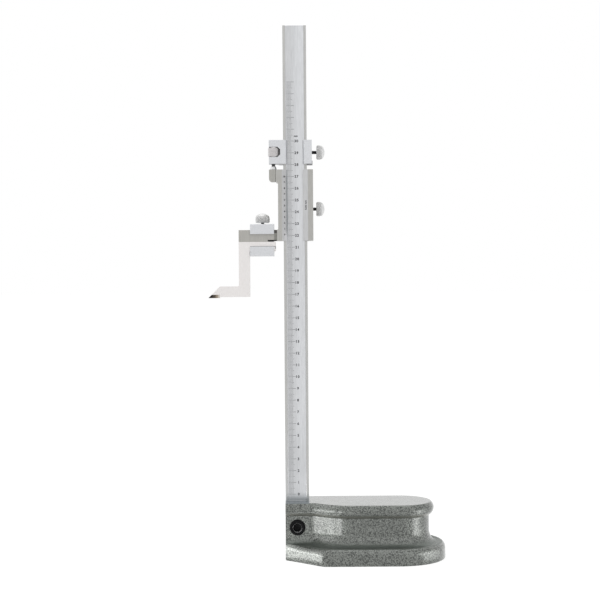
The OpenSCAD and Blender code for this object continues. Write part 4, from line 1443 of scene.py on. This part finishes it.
@dataclass
class LockScrew:
    """Lock screw: a domed, knurled head on a dark threaded shank, drawn from the head's seat."""

    name: str
    body: str
    nodes: tuple[str, str]
    origin: Point
    tip: float
    axis: Axis
    head_h: float = 7.0
    head_r: float = 6.1
    seat_r: float = 2.2
    dome: float = 2.5
    shoulder: float = 1.7
    chamfer: float = 0.7
    columns: int = 288
    knurl_starts: int = 36
    knurl_pitch: float = 1.0
    knurl_depth: float = 0.36
    smooth_r: Span = (0.8, 0.96)
    head_sharp: float = 40.0
    shank_r: float = 1.5
    shank_columns: int = 36
    pitch: float = 0.5
    depth: float = 0.3
    flat: float = 0.12
    point: float = 0.4
    grip: float = 4.0

    def profile(self) -> tuple[np.ndarray, np.ndarray, np.ndarray]:
        """Outline of the head from its underside's rim to the middle of its top.

        With u the radius over the head's, the dome drops by a sphere's drop plus shoulder times u to the
        15th, so its rim rounds off into the upright side; below that come the side and a chamfer.

        Returns:
            Radii, heights and the knurl's shares of its full depth, of which the dome has none.
        """
        u = np.sin(fillet(40, 90, 0))
        ball = (self.head_r ** 2 + self.dome ** 2) / (2 * self.dome)
        cap = self.head_h - ball + np.sqrt(ball ** 2 - (self.head_r * u) ** 2) - self.shoulder * u ** 15
        side = np.linspace(0.0, cap[0], 48)[:-1]
        rise = np.clip(side / self.chamfer, 0, 1)
        radius = np.concatenate([self.head_r - self.chamfer * (1 - rise), self.head_r * u])
        smooth = np.clip((u - self.smooth_r[0]) / (self.smooth_r[1] - self.smooth_r[0]), 0, 1)
        return radius, np.concatenate([side, cap]), np.concatenate([rise, smooth])

    def head(self) -> Surface:
        """Head: flat underside, chamfer, crossed knurl up over the rounded shoulder, and a smooth dome.

        Returns:
            The surface.
        """
        radius, height, fade = self.profile()
        share = knurl(height, self.columns, self.knurl_starts, self.knurl_pitch) * fade[:, None]
        turning = Turning(self.columns).add([0.0, self.seat_r], [0.0, 0.0])
        turning.add(radius[:, None] - self.knurl_depth * share, height, share)
        return turning.surface(self.axis, self.origin)

    def shank(self) -> Surface:
        """Shank: pointed tip, then a helical V thread up into the head.

        Returns:
            The surface.
        """
        turns = np.arange(self.tip + self.point, self.grip, self.pitch / 8)
        share = thread(turns, self.shank_columns, self.pitch, self.flat)
        turning = Turning(self.shank_columns).add([0.0, self.shank_r - self.point], [self.tip, self.tip])
        turning.add(self.shank_r - self.depth * share, turns, share).add(0.0, self.grip)
        return turning.surface(self.axis, self.origin)

    def build(self) -> None:
        """Makes the head and the shank."""
        shank, head = self.nodes
        add_piece(self.head(), self.name + "_knurled_head", Finishes.HEADS, self.body, [head],
                  self.head_sharp)
        add_piece(self.shank(), self.name + "_threaded_shank", Finishes.THREAD, self.body,
                  [shank])


@dataclass
class ScriberSet:
    """Clamp frame under the slider's arm, with the offset scriber and its carbide tip."""

    edge: float = 0.1
    tip_edge: float = 0.05

    def build(self) -> None:
        """Dresses the clamp, scriber and carbide strip."""
        dress_node("scriber_clamp", Finishes.CHROME, self.edge)
        dress_node("scriber", Finishes.SCRIBER, self.edge)
        dress_node("carbide_tip", Finishes.CARBIDE, self.tip_edge)


# Studio


@dataclass
class Studio:
    """White studio: pale floor, white surroundings, large soft lamps, and cards for the paint's gloss."""

    ambient: float = 0.55
    floor_glow: float = 0.82
    floor_colour: float = 0.80
    floor_shade: float = 0.35
    floor_z: float = -0.02
    floor_r: Span = (200.0, 30000.0)

    def backdrop_share(self, net: Shading) -> bpy.types.NodeSocket:
        """Tells how a ray meets the surroundings.

        Args:
            net: the tree of the world or of the floor.

        Returns:
            1 for rays that see them straight, in a mirror or through glass, else 0.
        """
        ray = net.add("LightPath").outputs
        sharp = net.math("MAXIMUM", ray["Is Camera Ray"], ray["Is Glossy Ray"])
        return net.math("MAXIMUM", sharp, ray["Is Transmission Ray"])

    def world(self) -> None:
        """White where it is seen, and a plain ambient level where it lights."""
        world = bpy.data.worlds.new("studio")
        world.use_nodes = True
        world.node_tree.nodes.clear()
        net = Shading(world.node_tree)
        seen = net.add("Background", {"Color": (1, 1, 1, 1), "Strength": 1.0})
        light = net.add("Background", {"Color": (1, 1, 1, 1), "Strength": self.ambient})
        both = net.add("MixShader", {0: self.backdrop_share(net), 1: light.outputs[0], 2: seen.outputs[0]})
        net.add("OutputWorld", {"Surface": both.outputs[0]})
        bpy.context.scene.world = world

    def floor(self) -> None:
        """Large, flat, pale disc just under the sole, which glows where it is seen and still takes shadow."""
        radius = np.concatenate([[0.0], np.geomspace(*self.floor_r, 24)])
        turning = Turning(96).add(radius, np.full(len(radius), self.floor_z))
        floor = turning.surface(Axis.UP, (0, 0, 0)).build("floor")
        material = bpy.data.materials.new("floor")
        material.use_nodes = True
        material.node_tree.nodes.clear()
        net = Shading(material.node_tree)
        plain = net.add("BsdfDiffuse", {"Color": (*(self.floor_colour,) * 3, 1.0)})
        glow = net.add("Emission", {"Color": (1, 1, 1, 1), "Strength": self.floor_glow})
        lit = net.add("BsdfDiffuse", {"Color": (*(self.floor_shade,) * 3, 1.0)})
        both = net.add("AddShader", {0: glow.outputs[0], 1: lit.outputs[0]})
        mixed = net.add("MixShader", {0: self.backdrop_share(net), 1: plain.outputs[0], 2: both.outputs[0]})
        net.add("OutputMaterial", {"Surface": mixed.outputs[0]})
        floor.data.materials.append(material)

    def lamp(self, name: str, at: Point | Vector, to: Point | Vector, size: Span,
             power: float) -> bpy.types.Object:
        """Soft rectangular lamp.

        Args:
            name: lamp name.
            at: its place in metres.
            to: the point it faces.
            size: its width and height in metres.
            power: in watts.

        Returns:
            The lamp.
        """
        data = bpy.data.lights.new(name, "AREA")
        data.shape, data.size, data.size_y, data.energy = "RECTANGLE", size[0], size[1], power
        lamp = bpy.data.objects.new(name, data)
        lamp.location = at
        lamp.rotation_euler = (Vector(to) - Vector(at)).to_track_quat("-Z", "Y").to_euler()
        lamp.visible_camera = False
        bpy.context.scene.collection.objects.link(lamp)
        return lamp

    def card(self, name: str, at: Point, to: Point, size: Span, glow: float, spread: float) -> None:
        """Gridded card that shows in shiny surfaces alone, brightest straight ahead, dark past its spread.

        With a half the spread, the power is glow times pi times the area times (1 - a / tan a).

        Args:
            name: lamp name.
            at: its place in millimetres.
            to: the point it faces, in millimetres.
            size: its width and height in millimetres.
            glow: brightness straight ahead.
            spread: full angle in degrees.
        """
        half = math.radians(spread / 2)
        area = size[0] * size[1] * MM ** 2
        lamp = self.lamp(name, Vector(at) * MM, Vector(to) * MM, (size[0] * MM, size[1] * MM),
                         glow * math.pi * area * (1 - half / math.tan(half)))
        lamp.data.spread, lamp.visible_diffuse = 2 * half, False

    def build(self) -> None:
        """Sets the world, floor, lamps, cards and colour view."""
        self.world()
        self.floor()
        self.lamp("left_softbox", (-1.2, -0.3, 1.1), (0, 0, 0.2), (1.0, 1.0), 3.0)
        self.lamp("front_softbox", (0.7, -1.7, 1.3), (0, 0, 0.2), (1.2, 1.2), 2.5)
        self.lamp("top_softbox", (0.1, 0.2, 1.7), (0.03, 0, 0.2), (1.4, 1.4), 4.0)
        row = {"left": (-102, -45, 22), "front_left": (-82, -95, 22), "front": (-43, -132, 22)}
        for name, place in row.items():
            self.card(name + "_card", place, (26, -22, 38), (55, 43), 5.7, 38)
        self.card("left_foot_card", (-4.5, -34.5, 7.5), (0.2, -29.3, 7.5), (46, 14), 3.8, 150)
        self.card("right_card", (225, -100, 24), (98, -30, 38), (130, 47), 4.4, 50)
        self.card("right_low_card", (165, -48, 7), (102, -30, 40), (60, 14), 4.0, 60)
        self.card("right_foot_card", (124, -34, 7.5), (119, -29, 7.5), (36, 14), 1.6, 150)
        bpy.context.scene.view_settings.view_transform = "Standard"


@dataclass
class Viewpoint:
    """Camera at the photograph's angle for a square picture, its place in metres, its angles in degrees."""

    location: Point = (0.00343, -1.1045, 0.2322)
    lens: float = 77.74
    sensor: float = 36.0
    pitch: float = -0.722
    roll: float = -0.400
    clip: Span = (0.01, 100.0)

    def build(self) -> None:
        """Makes the camera: pitched from the horizontal, then rolled about its own axis."""
        data = bpy.data.cameras.new("camera")
        data.sensor_width, data.lens, data.sensor_fit = self.sensor, self.lens, "AUTO"
        data.clip_start, data.clip_end = self.clip
        camera = bpy.data.objects.new("camera", data)
        tilt = Matrix.Rotation(math.radians(90 + self.pitch), 4, "X")
        roll = Matrix.Rotation(math.radians(self.roll), 4, "Z")
        camera.matrix_world = Matrix.Translation(self.location) @ tilt @ roll
        bpy.context.scene.collection.objects.link(camera)
        bpy.context.scene.camera = camera


def main() -> None:
    """Builds the gauge from the base up, then the camera and the studio."""
    logging.basicConfig(level=logging.INFO, format="%(name)s %(message)s")
    assemblies = [
        CastBase(),
        CapScrew(),
        Beam(),
        Slider(),
        FineAdjustment(),
        LockScrew("carriage", "carriage_screw", ("carriage_screw_shank", "carriage_screw_head"),
                  (18.2, 0.0, 343.75), -7.63, Axis.RIGHT),
        LockScrew("slider", "head_screw", ("slider_screw_shank", "slider_screw_head"),
                  (17.85, 0.0, 295.6), -6.98, Axis.RIGHT),
        LockScrew("clamp", "clamp_screw", ("scriber_screw_shank", "scriber_screw_head"),
                  (-28.0, 0.0, 284.2), -6.18, Axis.UP, 7.9),
        ScriberSet(),
    ]
    for assembly in assemblies:
        assembly.build()
    Viewpoint().build()
    Studio().build()


if __name__ == "__main__":
    main()
